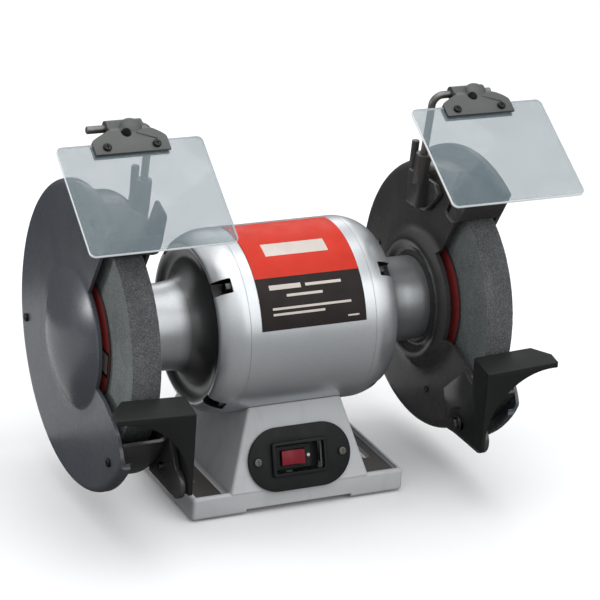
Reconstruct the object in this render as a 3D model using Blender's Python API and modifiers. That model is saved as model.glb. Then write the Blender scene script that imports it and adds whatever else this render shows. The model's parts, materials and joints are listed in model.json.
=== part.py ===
"""Double-ended bench grinder with 205 mm wheels, as the pieces it comes apart into.

Lengths are in metres and angles in degrees unless a name says otherwise. The arbor
lies along X, the operator stands at -Y, and the rubber feet stand on Z = 0.
Places named "from the arbor" are measured from the arbor's axis, and an angle
"around the arbor" starts at the front (-Y) and rises towards +Z.
"""
import math

import bmesh
import bpy
from mathutils import Matrix, Vector

# ---------------------------------------------------------------- driving dimensions
GAP = 0.0003                    # clearance between touching pieces
ARBOR_Z = 0.146                 # arbor height above the bench

WHEEL_RADIUS = 0.1025
WHEEL_WIDTH = 0.0246
WHEEL_OUTER_FACE = 0.169        # distance of each wheel's outer face from the middle
WHEEL_INNER_FACE = WHEEL_OUTER_FACE - WHEEL_WIDTH
WHEEL_BORE = 0.0082
BLOTTER_RADIUS = 0.059
BLOTTER_THICKNESS = 0.0006
FLANGE_RADIUS = 0.030
FLANGE_THICKNESS = 0.005
NUT_ACROSS_FLATS = 0.024
NUT_THICKNESS = 0.009

SHAFT_HALF_LENGTH = 0.1885
SHAFT_END_RADIUS = 0.0079
SHAFT_BEARING_RADIUS = 0.0085
SHAFT_CORE_RADIUS = 0.011
SHAFT_CORE_HALF = 0.045
SHAFT_SHOULDER = 0.1375
ROTOR_RADIUS = 0.0404
ROTOR_HALF = 0.031
STATOR_INNER = 0.041
STATOR_OUTER = 0.0732
STATOR_HALF = 0.030
WINDING_INNER = 0.045
WINDING_OUTER = 0.063
WINDING_END = 0.050

SHELL_RADIUS = 0.0764
SHELL_THICKNESS = 0.0025
SHELL_HALF = 0.056
NECK_RADIUS = 0.0358
NECK_END = 0.1277
BEARING_INNER_X = 0.108
BEARING_OUTER_X = 0.120
BEARING_RADIUS = 0.0199
BEARING_SPLIT = 0.0138
BOLT_CIRCLE = 0.0695
BOLT_RADIUS = 0.0024
BOLT_ANGLES = (45, 135, 225, 315)
BOLT_HEAD_RADIUS = 0.0046
BOLT_SEAT_X = 0.066
BOLT_HEAD_HEIGHT = 0.0045

GUARD_RADIUS = 0.115            # the rim around the wheel
GUARD_SHEET = 0.003
GUARD_PLATE_X = 0.136           # motor-side face of the guard's inner plate
GUARD_CORNER = 0.009            # rounding between the inner plate and the rim
COVER_RADIUS = 0.1262           # the outer cover overhangs the rim
GUARD_SHIFT_Y = -0.0040         # the rim's centre from the arbor: nearer the operator
GUARD_SHIFT_Z = 0.0026          # and a little higher
COVER_LIP_X = 0.1695            # inner edge of the cover's lip
GUARD_BOSS_RADIUS = 0.0575      # disc left standing in the open sector
OPEN_TOP = 60                   # upper edge of the opening, as an angle around the arbor
COVER_FACE_X = 0.1785
COVER_DOME_X = 0.194
COVER_CORNER = 0.0055

BASE_HALF_WIDTH = 0.09615
BASE_FRONT = -0.0699            # from the arbor
BASE_BACK = 0.0795
BASE_BOTTOM = 0.0015
FLANGE_TOP = 0.0212
TRAY_FLOOR = 0.0162             # the side flanges are shallow trays
TRAY_LIP = 0.0035
TRAY_FLARE = 0.0037             # the pedestal's side walls flare out onto the trays
PEDESTAL_HALF_WIDTH = 0.0628
PEDESTAL_TOP = 0.092
PEDESTAL_SLOPE_X = 0.3166       # how far the side walls lean in, per metre of height
PEDESTAL_SLOPE_Y = 0.3266       # the same for the front and back walls
BASE_WALL = 0.004
PAD_RAISE = 0.004               # how far the skirt's middle clears the corner pads
PAD_LENGTH = 0.048
PAD_RADIUS = 0.011
CORNER_INSET = 0.0165           # the feet's middles, in from the base's corners
FOOT_RADIUS = 0.009
FOOT_TOP_RADIUS = 0.010
FOOT_HEIGHT = 0.005
BENCH_SLOT = (0.0085, 0.024)
BENCH_SLOT_X = 0.081
BENCH_SLOT_Y = (-0.020, 0.030)  # from the arbor
PLATE_HALF_WIDTH = 0.066
PLATE_INSET = 0.006
PLATE_BOTTOM = 0.0060
PLATE_TOP = 0.0076
VENT_PLACES = (-0.045, -0.015, 0.015, 0.045)
WIRE_HOLE_RADIUS = 0.006
CORD_HOLE_RADIUS = 0.0075
CORD_UP_SLOPE = 0.018           # cord inlet, measured up the back wall

SWITCH_PLATE_LENGTH = 0.093
SWITCH_PLATE_HEIGHT = 0.0533
SWITCH_PLATE_THICKNESS = 0.0025
SWITCH_UP_SLOPE = 0.0234        # switch centre, measured up the front wall
SWITCH_SHIFT = -0.001           # the switch sits a little left of its plate's middle
SWITCH_SCREW_X = 0.0385
COLLAR_LENGTH = 0.0500
COLLAR_HEIGHT = 0.0290
COLLAR_OPENING = (0.0440, 0.0235)
HOUSING_HALF = (0.0215, 0.0113)
BEZEL_SIZE = (0.0340, 0.0200)
ROCKER_X = -0.005               # the key's middle, from the plate's middle
ROCKER_LENGTH = 0.0200
ROCKER_WIDTH = 0.0146
ROCKER_PIVOT_DEPTH = -0.004
ROCKER_REST_TILT = 8
CAPACITOR_RADIUS = 0.0165
CAPACITOR_HALF = 0.032
CAPACITOR_PLACE = (0.030, 0.0315)   # from the arbor along Y, and above the bench

LABEL_WIDTH = 0.093
LABEL_ANGLES = (14, 100)        # lower and upper edge, around the arbor

REST_INNER_X = 0.1285
REST_OUTER_X = 0.1945
REST_BACK = -0.112              # from the arbor
REST_FRONT = -0.1365
REST_BACK_HEIGHT = -0.0095      # table top at its back edge, from the arbor
REST_FRONT_HEIGHT = -0.0145
REST_THICKNESS = 0.0048
REST_RISE = 0.0030              # the table climbs this much towards its outer end
REST_WALL = 0.0042
REST_FOOT = -0.084
REST_ARC_X = 0.191
REST_ARC_Z = -0.0755
REST_ARC_RADIUS = 0.0588
REST_TRAVEL = 0.006
REST_BOLT_Y = -0.097
REST_BOLT_Z = -0.075
REST_BOLT_RADIUS = 0.003

ROD_RADIUS = 0.0031
ROD_LEG_X = 0.1255
ROD_END_X = 0.1785
ROD_BEND = 0.009
ROD_LEAN = 7.5                  # the leg leans forward towards its top
ROD_TOP_Y = -0.0118             # from the arbor
ROD_TOP_Z = 0.1778
ROD_FOOT_Z = 0.088
ROD_LIFT = {-1: 0.0, 1: 0.0055}

SHIELD_X = 0.1522
SHIELD_WIDTH = 0.1212
SHIELD_LENGTH = 0.0996
SHIELD_THICKNESS = 0.003
SHIELD_START = 0.0212           # top edge, measured from the rod
SHIELD_OFFSET = 0.0098          # middle of the plate, in front of the rod
SHIELD_TILT = {-1: 54.1, 1: 57.6}

DEFLECTOR_ANGLE = 57.4
DEFLECTOR_TOP = 0.1280
EAR_THICKNESS = 0.0024
DEFLECTOR_TIP = 0.1055
DEFLECTOR_TRAVEL = 0.002

BRACKET_FACE_X = 0.1305         # motor-side face of the shield bracket's foot plate
BRACKET_BLOCK_X = 0.1210
SLEEVE_RADIUS = 0.0066
SLEEVE_BOTTOM = 0.104           # from the arbor
SLEEVE_TOP = 0.131
CLAMP_ROLL = 0.0062             # outside radius of the clamp's rolled eye
CLAMP_JAW = 0.0018
CLAMP_END = 0.0325              # the jaws' reach down the shield, from the rod
CLAMP_WIDTH = 0.062
CLAMP_EYE = (-0.0180, 0.0105)   # the eye's two ends across the rod, off the jaws' middle
CLAMP_NOTCH_RADIUS = 0.0042

# Outlines in the side view, as (y, z) places from the arbor.
GUARD_LOWER_EDGE = [(-0.0545, -0.0182), (-0.0977, -0.0327), (-0.0990, -0.0450), (-0.150, -0.0680)]
COVER_LOWER_EDGE = [(-0.0527, -0.0229), (-0.0700, -0.0270), (-0.0930, -0.0390),
                    (-0.1030, -0.0480), (-0.1090, -0.0590), (-0.1115, -0.0720), (-0.160, -0.100)]
DEFLECTOR_EAR = [(-0.0585, 0.0885), (-0.0470, 0.0830), (-0.0360, 0.0870), (-0.0315, 0.0960),
                 (-0.0400, 0.1090), (-0.0530, 0.1320), (-0.0725, 0.1250), (-0.0650, 0.0985)]
BRACKET_FOOT = [(-0.0265, 0.1000), (-0.0060, 0.0790), (0.0150, 0.0790), (0.0215, 0.0880),
                (0.0215, 0.1080), (-0.0180, 0.1080)]

# Equal reach to the front and the back puts the origin in the middle of the footprint.
ARBOR_Y = -(REST_FRONT + COVER_RADIUS + GUARD_SHIFT_Y) / 2
ARBOR = Vector((0, ARBOR_Y, ARBOR_Z))
GUARD_CENTRE = ARBOR + Vector((0, GUARD_SHIFT_Y, GUARD_SHIFT_Z))

ROUND = 48
FINE = 36
MEDIUM = 24
COARSE = 16
SIDES = {"left": -1, "right": 1}

COLOURS = {
    "silver_paint": ((0.60, 0.61, 0.62), 0.36, 0.35),
    "base_paint": ((0.66, 0.68, 0.69), 0.48, 0.0),
    "guard_paint": ((0.12, 0.125, 0.14), 0.42, 0.2),
    "rest_casting": ((0.09, 0.09, 0.09), 0.6, 0.1),
    "clamp_paint": ((0.30, 0.31, 0.29), 0.55, 0.2),
    "abrasive": ((0.40, 0.42, 0.41), 0.95, 0.0),
    "blotter_paper": ((0.60, 0.04, 0.04), 0.85, 0.0),
    "clear_plastic": ((0.85, 0.90, 0.94), 0.08, 0.0),
    "black_plastic": ((0.03, 0.03, 0.032), 0.45, 0.0),
    "red_plastic": ((0.62, 0.03, 0.04), 0.30, 0.0),
    "black_rubber": ((0.02, 0.02, 0.02), 0.8, 0.0),
    "zinc_steel": ((0.62, 0.62, 0.60), 0.32, 0.9),
    "ground_steel": ((0.70, 0.70, 0.71), 0.22, 1.0),
    "laminated_steel": ((0.30, 0.30, 0.32), 0.5, 0.8),
    "copper_wire": ((0.65, 0.28, 0.12), 0.38, 0.9),
    "capacitor_case": ((0.55, 0.57, 0.60), 0.35, 0.8),
    "label_print": ((0.62, 0.06, 0.04), 0.35, 0.0),
}


# ---------------------------------------------------------------- scene and materials
def clear_scene():
    for obj in list(bpy.data.objects):
        bpy.data.objects.remove(obj, do_unlink=True)


def new_collection(name):
    collection = bpy.data.collections.new(name)
    bpy.context.scene.collection.children.link(collection)
    return collection


def principled(name):
    colour, roughness, metallic = COLOURS[name]
    made = bpy.data.materials.get(name)
    if made:
        return made
    made = bpy.data.materials.new(name)
    made.use_nodes = True
    shader = made.node_tree.nodes["Principled BSDF"]
    shader.inputs["Base Color"].default_value = (*colour, 1)
    shader.inputs["Roughness"].default_value = roughness
    shader.inputs["Metallic"].default_value = metallic
    return made


clear_scene()
PARTS = new_collection("bench_grinder")
CUTTERS = new_collection("cutters")


def from_arbor(x, y, z):
    return Vector((x, ARBOR_Y + y, ARBOR_Z + z))


def add_part(name, mesh, slot, location=(0, 0, 0), rotation=(0, 0, 0), parent=None):
    obj = bpy.data.objects.new(name, mesh)
    obj.location = location
    obj.rotation_euler = [math.radians(angle) for angle in rotation]
    obj.parent = parent
    mesh.materials.append(principled(slot))
    mesh.shade_smooth()
    mesh.set_sharp_from_angle(angle=math.radians(35))
    PARTS.objects.link(obj)
    return obj


def as_cutter(obj):
    PARTS.objects.unlink(obj)
    CUTTERS.objects.link(obj)
    obj.name = "cut_" + obj.name
    obj.hide_render = True
    obj.display_type = "WIRE"
    return obj


def boolean(obj, other, operation):
    modifier = obj.modifiers.new(operation.lower(), "BOOLEAN")
    modifier.operation = operation
    modifier.object = as_cutter(other)


def cut(obj, other):
    boolean(obj, other, "DIFFERENCE")


def join(obj, other):
    boolean(obj, other, "UNION")


def empty(name, location, rotation=(0, 0, 0)):
    obj = bpy.data.objects.new(name, None)
    obj.location = location
    obj.rotation_euler = [math.radians(angle) for angle in rotation]
    PARTS.objects.link(obj)
    return obj


# ---------------------------------------------------------------- shapes
def box(name, low, high, slot, parent=None, rotation=(0, 0, 0), location=None):
    """A box between two corners; a given location becomes the object's origin."""
    low, high = Vector(low), Vector(high)
    middle = (low + high) / 2 if location is None else Vector(location)
    shape = bmesh.new()
    bmesh.ops.create_cube(shape, size=1.0)
    bmesh.ops.scale(shape, vec=high - low, verts=shape.verts)
    bmesh.ops.translate(shape, vec=(low + high) / 2 - middle, verts=shape.verts)
    mesh = bpy.data.meshes.new(name)
    shape.to_mesh(mesh)
    shape.free()
    return add_part(name, mesh, slot, middle, rotation, parent)


def cylinder(name, start, end, radius, slot, segments=COARSE, parent=None, end_radius=None):
    """A round bar or cone between two points, with its origin at the first."""
    start, end = Vector(start), Vector(end)
    shape = bmesh.new()
    length = (end - start).length
    top = radius if end_radius is None else end_radius
    bmesh.ops.create_cone(shape, cap_ends=True, segments=segments, radius1=radius,
                          radius2=top, depth=length)
    bmesh.ops.translate(shape, vec=(0, 0, length / 2), verts=shape.verts)
    turn = (end - start).to_track_quat("Z", "Y").to_matrix()
    bmesh.ops.rotate(shape, cent=(0, 0, 0), matrix=turn, verts=shape.verts)
    mesh = bpy.data.meshes.new(name)
    shape.to_mesh(mesh)
    shape.free()
    return add_part(name, mesh, slot, start, parent=parent)


def turned(name, profile, slot, side=1, segments=FINE, sheet=None, closed=True, centre=ARBOR):
    """Turn (distance along X, radius) points about the arbor; side -1 mirrors the piece.

    A closed profile is a ring's cross-section. An open one starts and ends on the axis,
    or is a sheet that Solidify thickens inwards.
    """
    points = [Vector((radius, 0, side * along)) for along, radius in profile]
    if closed:
        area = sum(a.x * b.z - b.x * a.z for a, b in zip(points, points[1:] + points[:1]))
        backwards = area > 0
    else:
        backwards = points[0].z < points[-1].z
    if backwards:
        points.reverse()
    edges = [(i, i + 1) for i in range(len(points) - 1)]
    if closed:
        edges.append((len(points) - 1, 0))
    mesh = bpy.data.meshes.new(name)
    mesh.from_pydata(points, edges, [])
    obj = add_part(name, mesh, slot, centre, (0, 90, 0))
    screw = obj.modifiers.new("turn", "SCREW")
    screw.steps = segments
    screw.render_steps = segments
    screw.use_smooth_shade = True
    screw.use_merge_vertices = True
    screw.merge_threshold = 0.00001
    if sheet:
        solidify = obj.modifiers.new("sheet", "SOLIDIFY")
        solidify.thickness = sheet
        solidify.offset = -1
        solidify.use_even_offset = True
    return obj


def outline(name, points, thickness, slot, location, rotation, parent=None):
    """A flat plate with the given outline in its own XY plane, centred on that plane."""
    curve = bpy.data.curves.new(name, "CURVE")
    curve.dimensions = "2D"
    curve.fill_mode = "BOTH"
    curve.extrude = thickness / 2
    spline = curve.splines.new("POLY")
    spline.points.add(len(points) - 1)
    for target, (x, y) in zip(spline.points, points):
        target.co = (x, y, 0, 1)
    spline.use_cyclic_u = True
    return curve_part(name, curve, slot, location, rotation, parent)


def curve_part(name, curve, slot, location=(0, 0, 0), rotation=(0, 0, 0), parent=None):
    """Turn a curve into a closed mesh part with its caps welded on."""
    drawn = bpy.data.objects.new(name + "_curve", curve)
    PARTS.objects.link(drawn)
    graph = bpy.context.evaluated_depsgraph_get()
    mesh = bpy.data.meshes.new_from_object(drawn.evaluated_get(graph))
    bpy.data.objects.remove(drawn, do_unlink=True)
    shape = bmesh.new()
    shape.from_mesh(mesh)
    bmesh.ops.remove_doubles(shape, verts=shape.verts, dist=0.000001)
    bmesh.ops.recalc_face_normals(shape, faces=shape.faces)
    shape.to_mesh(mesh)
    shape.free()
    mesh.name = name
    return add_part(name, mesh, slot, location, rotation, parent)


def arc(centre, radius, start, stop, steps):
    """Points on an arc; angles in degrees from the first axis towards the second."""
    angles = [math.radians(start + (stop - start) * i / steps) for i in range(steps + 1)]
    return [(centre[0] + radius * math.cos(a), centre[1] + radius * math.sin(a)) for a in angles]


def around(radius, angle):
    """The (y, z) place from the arbor at a radius and an angle around the arbor."""
    turn = math.radians(angle)
    return (-radius * math.cos(turn), radius * math.sin(turn))


def rounded_box_outline(width, height, radius, centre=(0, 0), steps=3):
    x, y = width / 2 - radius, height / 2 - radius
    corners = ((x, y, 0), (-x, y, 90), (-x, -y, 180), (x, -y, 270))
    return [point for cx, cy, start in corners
            for point in arc((centre[0] + cx, centre[1] + cy), radius, start, start + 90, steps)]


SIDE_ON = (90, 0, 90)           # turns an outline's XY plane into the YZ plane
FACE_ON = (90, 0, 0)            # turns an outline's XY plane into the XZ plane


# ---------------------------------------------------------------- base
def pedestal_wall(height, inset):
    """Half width, front and back of the pedestal's outline at a height."""
    rise = height - FLANGE_TOP
    half = PEDESTAL_HALF_WIDTH - PEDESTAL_SLOPE_X * rise - inset
    front = BASE_FRONT + PEDESTAL_SLOPE_Y * rise + inset
    back = BASE_BACK - PEDESTAL_SLOPE_Y * rise - inset
    return half, front, back


def frustum(name, bottom, top, inset, slot):
    """The pedestal's tapering block between two heights, drawn in by an inset."""
    shape = box(name, (-1, -1, 0), (1, 1, 1), slot, location=(0, 0, 0))
    for vertex in shape.data.vertices:
        height = top if vertex.co.z > 0.5 else bottom
        half, front, back = pedestal_wall(height, inset)
        vertex.co.x = half if vertex.co.x > 0 else -half
        vertex.co.y = ARBOR_Y + (back if vertex.co.y > 0 else front)
        vertex.co.z = height
    return shape


def motor_clearance(name, radius):
    """A bar along the arbor whose flats, not its corners, lie at the radius."""
    reach = Vector((0.12, 0, 0))
    outer = radius / math.cos(math.pi / FINE)
    return cylinder(name, ARBOR - reach, ARBOR + reach, outer, "base_paint", FINE)


def base_flange_box(name, inset, bottom, top):
    low = (-BASE_HALF_WIDTH + inset, ARBOR_Y + BASE_FRONT + inset, bottom)
    high = (BASE_HALF_WIDTH - inset, ARBOR_Y + BASE_BACK - inset, top)
    return box(name, low, high, "base_paint")


def make_base():
    base = base_flange_box("base_casting", 0, BASE_BOTTOM, FLANGE_TOP)
    bevel = base.modifiers.new("corners", "BEVEL")
    bevel.width = 0.003
    bevel.segments = 2
    join(base, frustum("pedestal", FLANGE_TOP - 0.0005, PEDESTAL_TOP, 0, "base_paint"))
    sink_trays(base)
    cut(base, motor_clearance("saddle", SHELL_RADIUS + GAP))
    ceiling = TRAY_FLOOR - BASE_WALL
    cut(base, base_flange_box("flange_hollow", BASE_WALL, 0, ceiling))
    hollow = frustum("pedestal_hollow", ceiling - 0.0005, PEDESTAL_TOP - 0.002, BASE_WALL,
                     "base_paint")
    cut(hollow, motor_clearance("saddle_roof", SHELL_RADIUS + BASE_WALL))
    cut(base, hollow)
    raise_skirt(base)
    add_corner_pads(base)
    open_base_walls(base)
    return base


def sink_trays(base):
    """Sink the top of each side flange, leaving a lip round it and a flare at the pedestal."""
    top = FLANGE_TOP + 0.0005
    outer = BASE_HALF_WIDTH - TRAY_LIP
    depth = BASE_BACK - BASE_FRONT - 2 * TRAY_LIP
    for side in SIDES.values():
        section = [(PEDESTAL_HALF_WIDTH + TRAY_FLARE, TRAY_FLOOR), (outer, TRAY_FLOOR),
                   (outer, top), (PEDESTAL_HALF_WIDTH - 0.0001, top)]
        section = [(side * x, z) for x, z in section]
        cut(base, outline("tray", section, depth, "base_paint",
                          (0, ARBOR_Y + (BASE_FRONT + BASE_BACK) / 2, 0), FACE_ON))


def raise_skirt(base):
    """Lift the skirt's lower edge between the corner pads, on all four sides."""
    top = BASE_BOTTOM + PAD_RAISE
    reach_x = BASE_HALF_WIDTH - PAD_LENGTH
    cut(base, box("raise_front", (-reach_x, ARBOR_Y + BASE_FRONT - 0.01, 0),
                  (reach_x, ARBOR_Y + BASE_BACK + 0.01, top), "base_paint"))
    inset_y = PAD_LENGTH * 0.75
    cut(base, box("raise_side", (-0.12, ARBOR_Y + BASE_FRONT + inset_y, 0),
                  (0.12, ARBOR_Y + BASE_BACK - inset_y, top), "base_paint"))


def corner_places():
    front = ARBOR_Y + BASE_FRONT + CORNER_INSET
    back = ARBOR_Y + BASE_BACK - CORNER_INSET
    reach = BASE_HALF_WIDTH - CORNER_INSET
    return {"front_left": (-reach, front), "front_right": (reach, front),
            "back_left": (-reach, back), "back_right": (reach, back)}


def add_corner_pads(base):
    for where, (x, y) in corner_places().items():
        join(base, cylinder("pad_" + where, (x, y, FOOT_HEIGHT), (x, y, TRAY_FLOOR - 0.001),
                            PAD_RADIUS, "base_paint", COARSE))


def open_base_walls(base):
    """The switch window, the cord hole, the motor's wire hole and the bench-bolt slots."""
    window = box("window", (-0.0235, -0.013, -0.02), (0.0215, 0.013, 0.02), "base_paint",
                 parent=SWITCH_FRAME, location=(0, 0, 0))
    cut(base, window)
    cut(base, cylinder("cord_hole", (0, 0, -0.02), (0, 0, 0.02), CORD_HOLE_RADIUS,
                       "base_paint", parent=CORD_FRAME))
    cut(base, cylinder("wire_hole", from_arbor(0, 0, -0.09), from_arbor(0, 0, -0.06),
                       WIRE_HOLE_RADIUS, "base_paint"))
    width, length = BENCH_SLOT
    points = rounded_box_outline(width, length, width / 2 - 0.00005)
    for side in SIDES.values():
        for y in BENCH_SLOT_Y:
            cut(base, outline("bench_slot", points, 0.02, "base_paint",
                              (side * BENCH_SLOT_X, ARBOR_Y + y, FLANGE_TOP), (0, 0, 0)))


def make_feet():
    for where, (x, y) in corner_places().items():
        cylinder("rubber_foot_" + where, (x, y, 0), (x, y, FOOT_HEIGHT - GAP), FOOT_RADIUS,
                 "black_rubber", COARSE, end_radius=FOOT_TOP_RADIUS)


def make_bottom_plate():
    low = (-PLATE_HALF_WIDTH, ARBOR_Y + BASE_FRONT + PLATE_INSET, PLATE_BOTTOM)
    high = (PLATE_HALF_WIDTH, ARBOR_Y + BASE_BACK - PLATE_INSET, PLATE_TOP)
    plate = box("base_bottom_plate", low, high, "zinc_steel")
    for x in VENT_PLACES:
        cut(plate, box("vent", (x - 0.003, ARBOR_Y - 0.03, 0), (x + 0.003, ARBOR_Y + 0.04, 0.02),
                       "zinc_steel"))


# ---------------------------------------------------------------- switch, cord inlet, capacitor
def slope_point(up, wall):
    """A point on the front (-1) or back (1) wall, a distance up from the flange."""
    lean = math.atan(PEDESTAL_SLOPE_Y)
    start = BASE_FRONT if wall < 0 else BASE_BACK
    y = start - wall * up * math.sin(lean)
    return (0, ARBOR_Y + y, FLANGE_TOP + up * math.cos(lean))


WALL_LEAN = math.degrees(math.atan(PEDESTAL_SLOPE_Y))
SWITCH_FRAME = empty("switch_frame", slope_point(SWITCH_UP_SLOPE, -1), (90 - WALL_LEAN, 0, 0))
CORD_FRAME = empty("cord_frame", slope_point(CORD_UP_SLOPE, 1), (90 - WALL_LEAN, 0, 180))


def make_switch_plate():
    radius = SWITCH_PLATE_HEIGHT / 2
    half = SWITCH_PLATE_LENGTH / 2 - radius
    points = arc((half, 0), radius, -90, 90, 10) + arc((-half, 0), radius, 90, 270, 10)
    seat = SWITCH_PLATE_THICKNESS / 2 + GAP
    plate = outline("switch_plate", points, SWITCH_PLATE_THICKNESS, "black_plastic",
                    (0, 0, seat), (0, 0, 0), SWITCH_FRAME)
    collar = rounded_box_outline(COLLAR_LENGTH, COLLAR_HEIGHT, 0.003, (SWITCH_SHIFT, 0))
    join(plate, outline("collar", collar, 0.0044, "black_plastic", (0, 0, 0.0035),
                        (0, 0, 0), SWITCH_FRAME))
    opening = rounded_box_outline(*COLLAR_OPENING, 0.001, (SWITCH_SHIFT, 0), 1)
    cut(plate, outline("opening", opening, 0.02, "black_plastic", (0, 0, 0.002), (0, 0, 0),
                       SWITCH_FRAME))


def make_switch_screws():
    for name, side in SIDES.items():
        x = side * SWITCH_SCREW_X
        screw = cylinder("switch_screw_" + name, (x, 0, 0.0031), (x, 0, 0.0049), 0.0034,
                         "zinc_steel", 12, SWITCH_FRAME, end_radius=0.0026)
        cut(screw, box("slot_" + name, (x - 0.0004, -0.005, 0.0041), (x + 0.0004, 0.005, 0.006),
                       "zinc_steel", SWITCH_FRAME, location=(0, 0, 0)))


def make_switch_housing():
    half_x, half_y = HOUSING_HALF
    housing = box("switch_housing", (SWITCH_SHIFT - half_x, -half_y, -0.024),
                  (SWITCH_SHIFT + half_x, half_y, -0.006), "black_plastic", SWITCH_FRAME,
                  location=(0, 0, 0))
    bezel = rounded_box_outline(*BEZEL_SIZE, 0.002, (ROCKER_X, 0), 2)
    join(housing, outline("bezel", bezel, 0.008, "black_plastic", (0, 0, -0.0055), (0, 0, 0),
                          SWITCH_FRAME))
    half_x, half_y = ROCKER_LENGTH / 2 + 0.0009, ROCKER_WIDTH / 2 + 0.0004
    cut(housing, box("rocker_well", (ROCKER_X - half_x, -half_y, -0.016),
                     (ROCKER_X + half_x, half_y, 0.01), "black_plastic", SWITCH_FRAME,
                     location=(0, 0, 0)))


def make_rocker():
    """A see-saw key with a shallow V top, tipped to its resting side about its pivot."""
    half = ROCKER_LENGTH / 2
    pivot = empty("rocker_pivot", (ROCKER_X, 0, ROCKER_PIVOT_DEPTH), (90, -ROCKER_REST_TILT, 0))
    pivot.parent = SWITCH_FRAME
    points = [(-half, 0.0060), (-half + 0.0006, 0.0068), (0, 0.0042), (half - 0.0006, 0.0068),
              (half, 0.0060), (half - 0.0012, -0.001), (half * 0.4, -0.0045),
              (-half * 0.4, -0.0045), (-half + 0.0012, -0.001)]
    outline("rocker", points, ROCKER_WIDTH, "red_plastic", (0, 0, 0), (0, 0, 0), pivot)


def make_cord_grommet():
    """The rubber inlet in the back wall where the supply cord would come out."""
    grommet = cylinder("cord_grommet", (0, 0, -0.0065), (0, 0, 0.002), 0.0072, "black_rubber",
                       COARSE, CORD_FRAME)
    join(grommet, cylinder("inlet_boot", (0, 0, 0.0003), (0, 0, 0.0105), 0.0105, "black_rubber",
                           COARSE, CORD_FRAME, end_radius=0.0062))
    cut(grommet, cylinder("inlet_bore", (0, 0, -0.02), (0, 0, 0.02), 0.0040, "black_rubber", 12,
                          CORD_FRAME))


def make_capacitor():
    y, z = CAPACITOR_PLACE
    cylinder("run_capacitor", (-CAPACITOR_HALF, ARBOR_Y + y, z), (CAPACITOR_HALF, ARBOR_Y + y, z),
             CAPACITOR_RADIUS, "capacitor_case", COARSE)


# ---------------------------------------------------------------- motor
def make_motor_shell():
    inner = SHELL_RADIUS - SHELL_THICKNESS
    shell = turned("motor_shell", [(-SHELL_HALF, SHELL_RADIUS), (-SHELL_HALF, inner),
                                   (SHELL_HALF, inner), (SHELL_HALF, SHELL_RADIUS)],
                   "silver_paint")
    cut(shell, cylinder("shell_wire_hole", from_arbor(0, 0, -0.09), from_arbor(0, 0, -0.06),
                        0.005, "silver_paint"))


BELL_OUTSIDE = [(0.0563, 0.0762), (0.0670, 0.0748), (0.0760, 0.0711), (0.0805, 0.0682),
                (0.0800, 0.0652), (0.0745, 0.0585), (0.0722, 0.0510), (0.0750, 0.0445),
                (0.0850, 0.0380), (NECK_END, NECK_RADIUS)]
BELL_INSIDE = [(NECK_END, 0.0135), (BEARING_OUTER_X + GAP, 0.0135),
               (BEARING_OUTER_X + GAP, BEARING_RADIUS + GAP),
               (BEARING_INNER_X, BEARING_RADIUS + GAP), (BEARING_INNER_X, 0.0300),
               (0.0840, 0.0325), (0.0690, 0.0440), (0.0700, 0.0600), (0.0740, 0.0665),
               (0.0563, 0.0720)]


def bolt_place(x, radius, angle):
    turn = math.radians(angle)
    return from_arbor(x, -radius * math.cos(turn), radius * math.sin(turn))


def make_end_bell(name, side):
    bell = turned("end_bell_" + name, BELL_OUTSIDE + BELL_INSIDE, "silver_paint", side)
    for angle in BOLT_ANGLES:
        seat = BOLT_SEAT_X - 0.007
        join(bell, cylinder("boss", bolt_place(side * seat, BOLT_CIRCLE - 0.0015, angle),
                            bolt_place(side * 0.0745, BOLT_CIRCLE - 0.0015, angle), 0.0075,
                            "silver_paint", 8))
    for angle in BOLT_ANGLES:
        cut(bell, head_pocket(side, angle))
    for angle in BOLT_ANGLES:
        cut(bell, cylinder("bolt_hole", bolt_place(side * 0.05, BOLT_CIRCLE, angle),
                           bolt_place(side * 0.09, BOLT_CIRCLE, angle), BOLT_RADIUS + GAP,
                           "silver_paint", 8))


def head_pocket(side, angle):
    """The square notch in the shoulder that lets a bolt head sit below the surface."""
    low = (-0.0062, BOLT_CIRCLE - 0.0052, min(side * BOLT_SEAT_X, side * 0.09))
    high = (0.0062, BOLT_CIRCLE + 0.02, max(side * BOLT_SEAT_X, side * 0.09))
    pocket = box("pocket", low, high, "silver_paint", location=(0, 0, 0))
    out = Vector((0, -math.cos(math.radians(angle)), math.sin(math.radians(angle))))
    along = Vector((1, 0, 0))
    frame = Matrix((out.cross(along), out, along)).transposed().to_4x4()
    pocket.matrix_world = Matrix.Translation(ARBOR) @ frame
    return pocket


def make_through_bolts():
    for number, angle in enumerate(BOLT_ANGLES, 1):
        seat = BOLT_SEAT_X + GAP
        bolt = cylinder(f"through_bolt_{number}", bolt_place(-seat - 0.001, BOLT_CIRCLE, angle),
                        bolt_place(seat + 0.001, BOLT_CIRCLE, angle), BOLT_RADIUS,
                        "zinc_steel", 8)
        for side in SIDES.values():
            join(bolt, cylinder("head", bolt_place(side * seat, BOLT_CIRCLE, angle),
                                bolt_place(side * (seat + BOLT_HEAD_HEIGHT), BOLT_CIRCLE, angle),
                                BOLT_HEAD_RADIUS, "zinc_steel", 6))


def ring(name, start, end, inner, outer, slot, side=1, segments=MEDIUM):
    return turned(name, [(start, outer), (start, inner), (end, inner), (end, outer)], slot,
                  side, segments)


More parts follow.
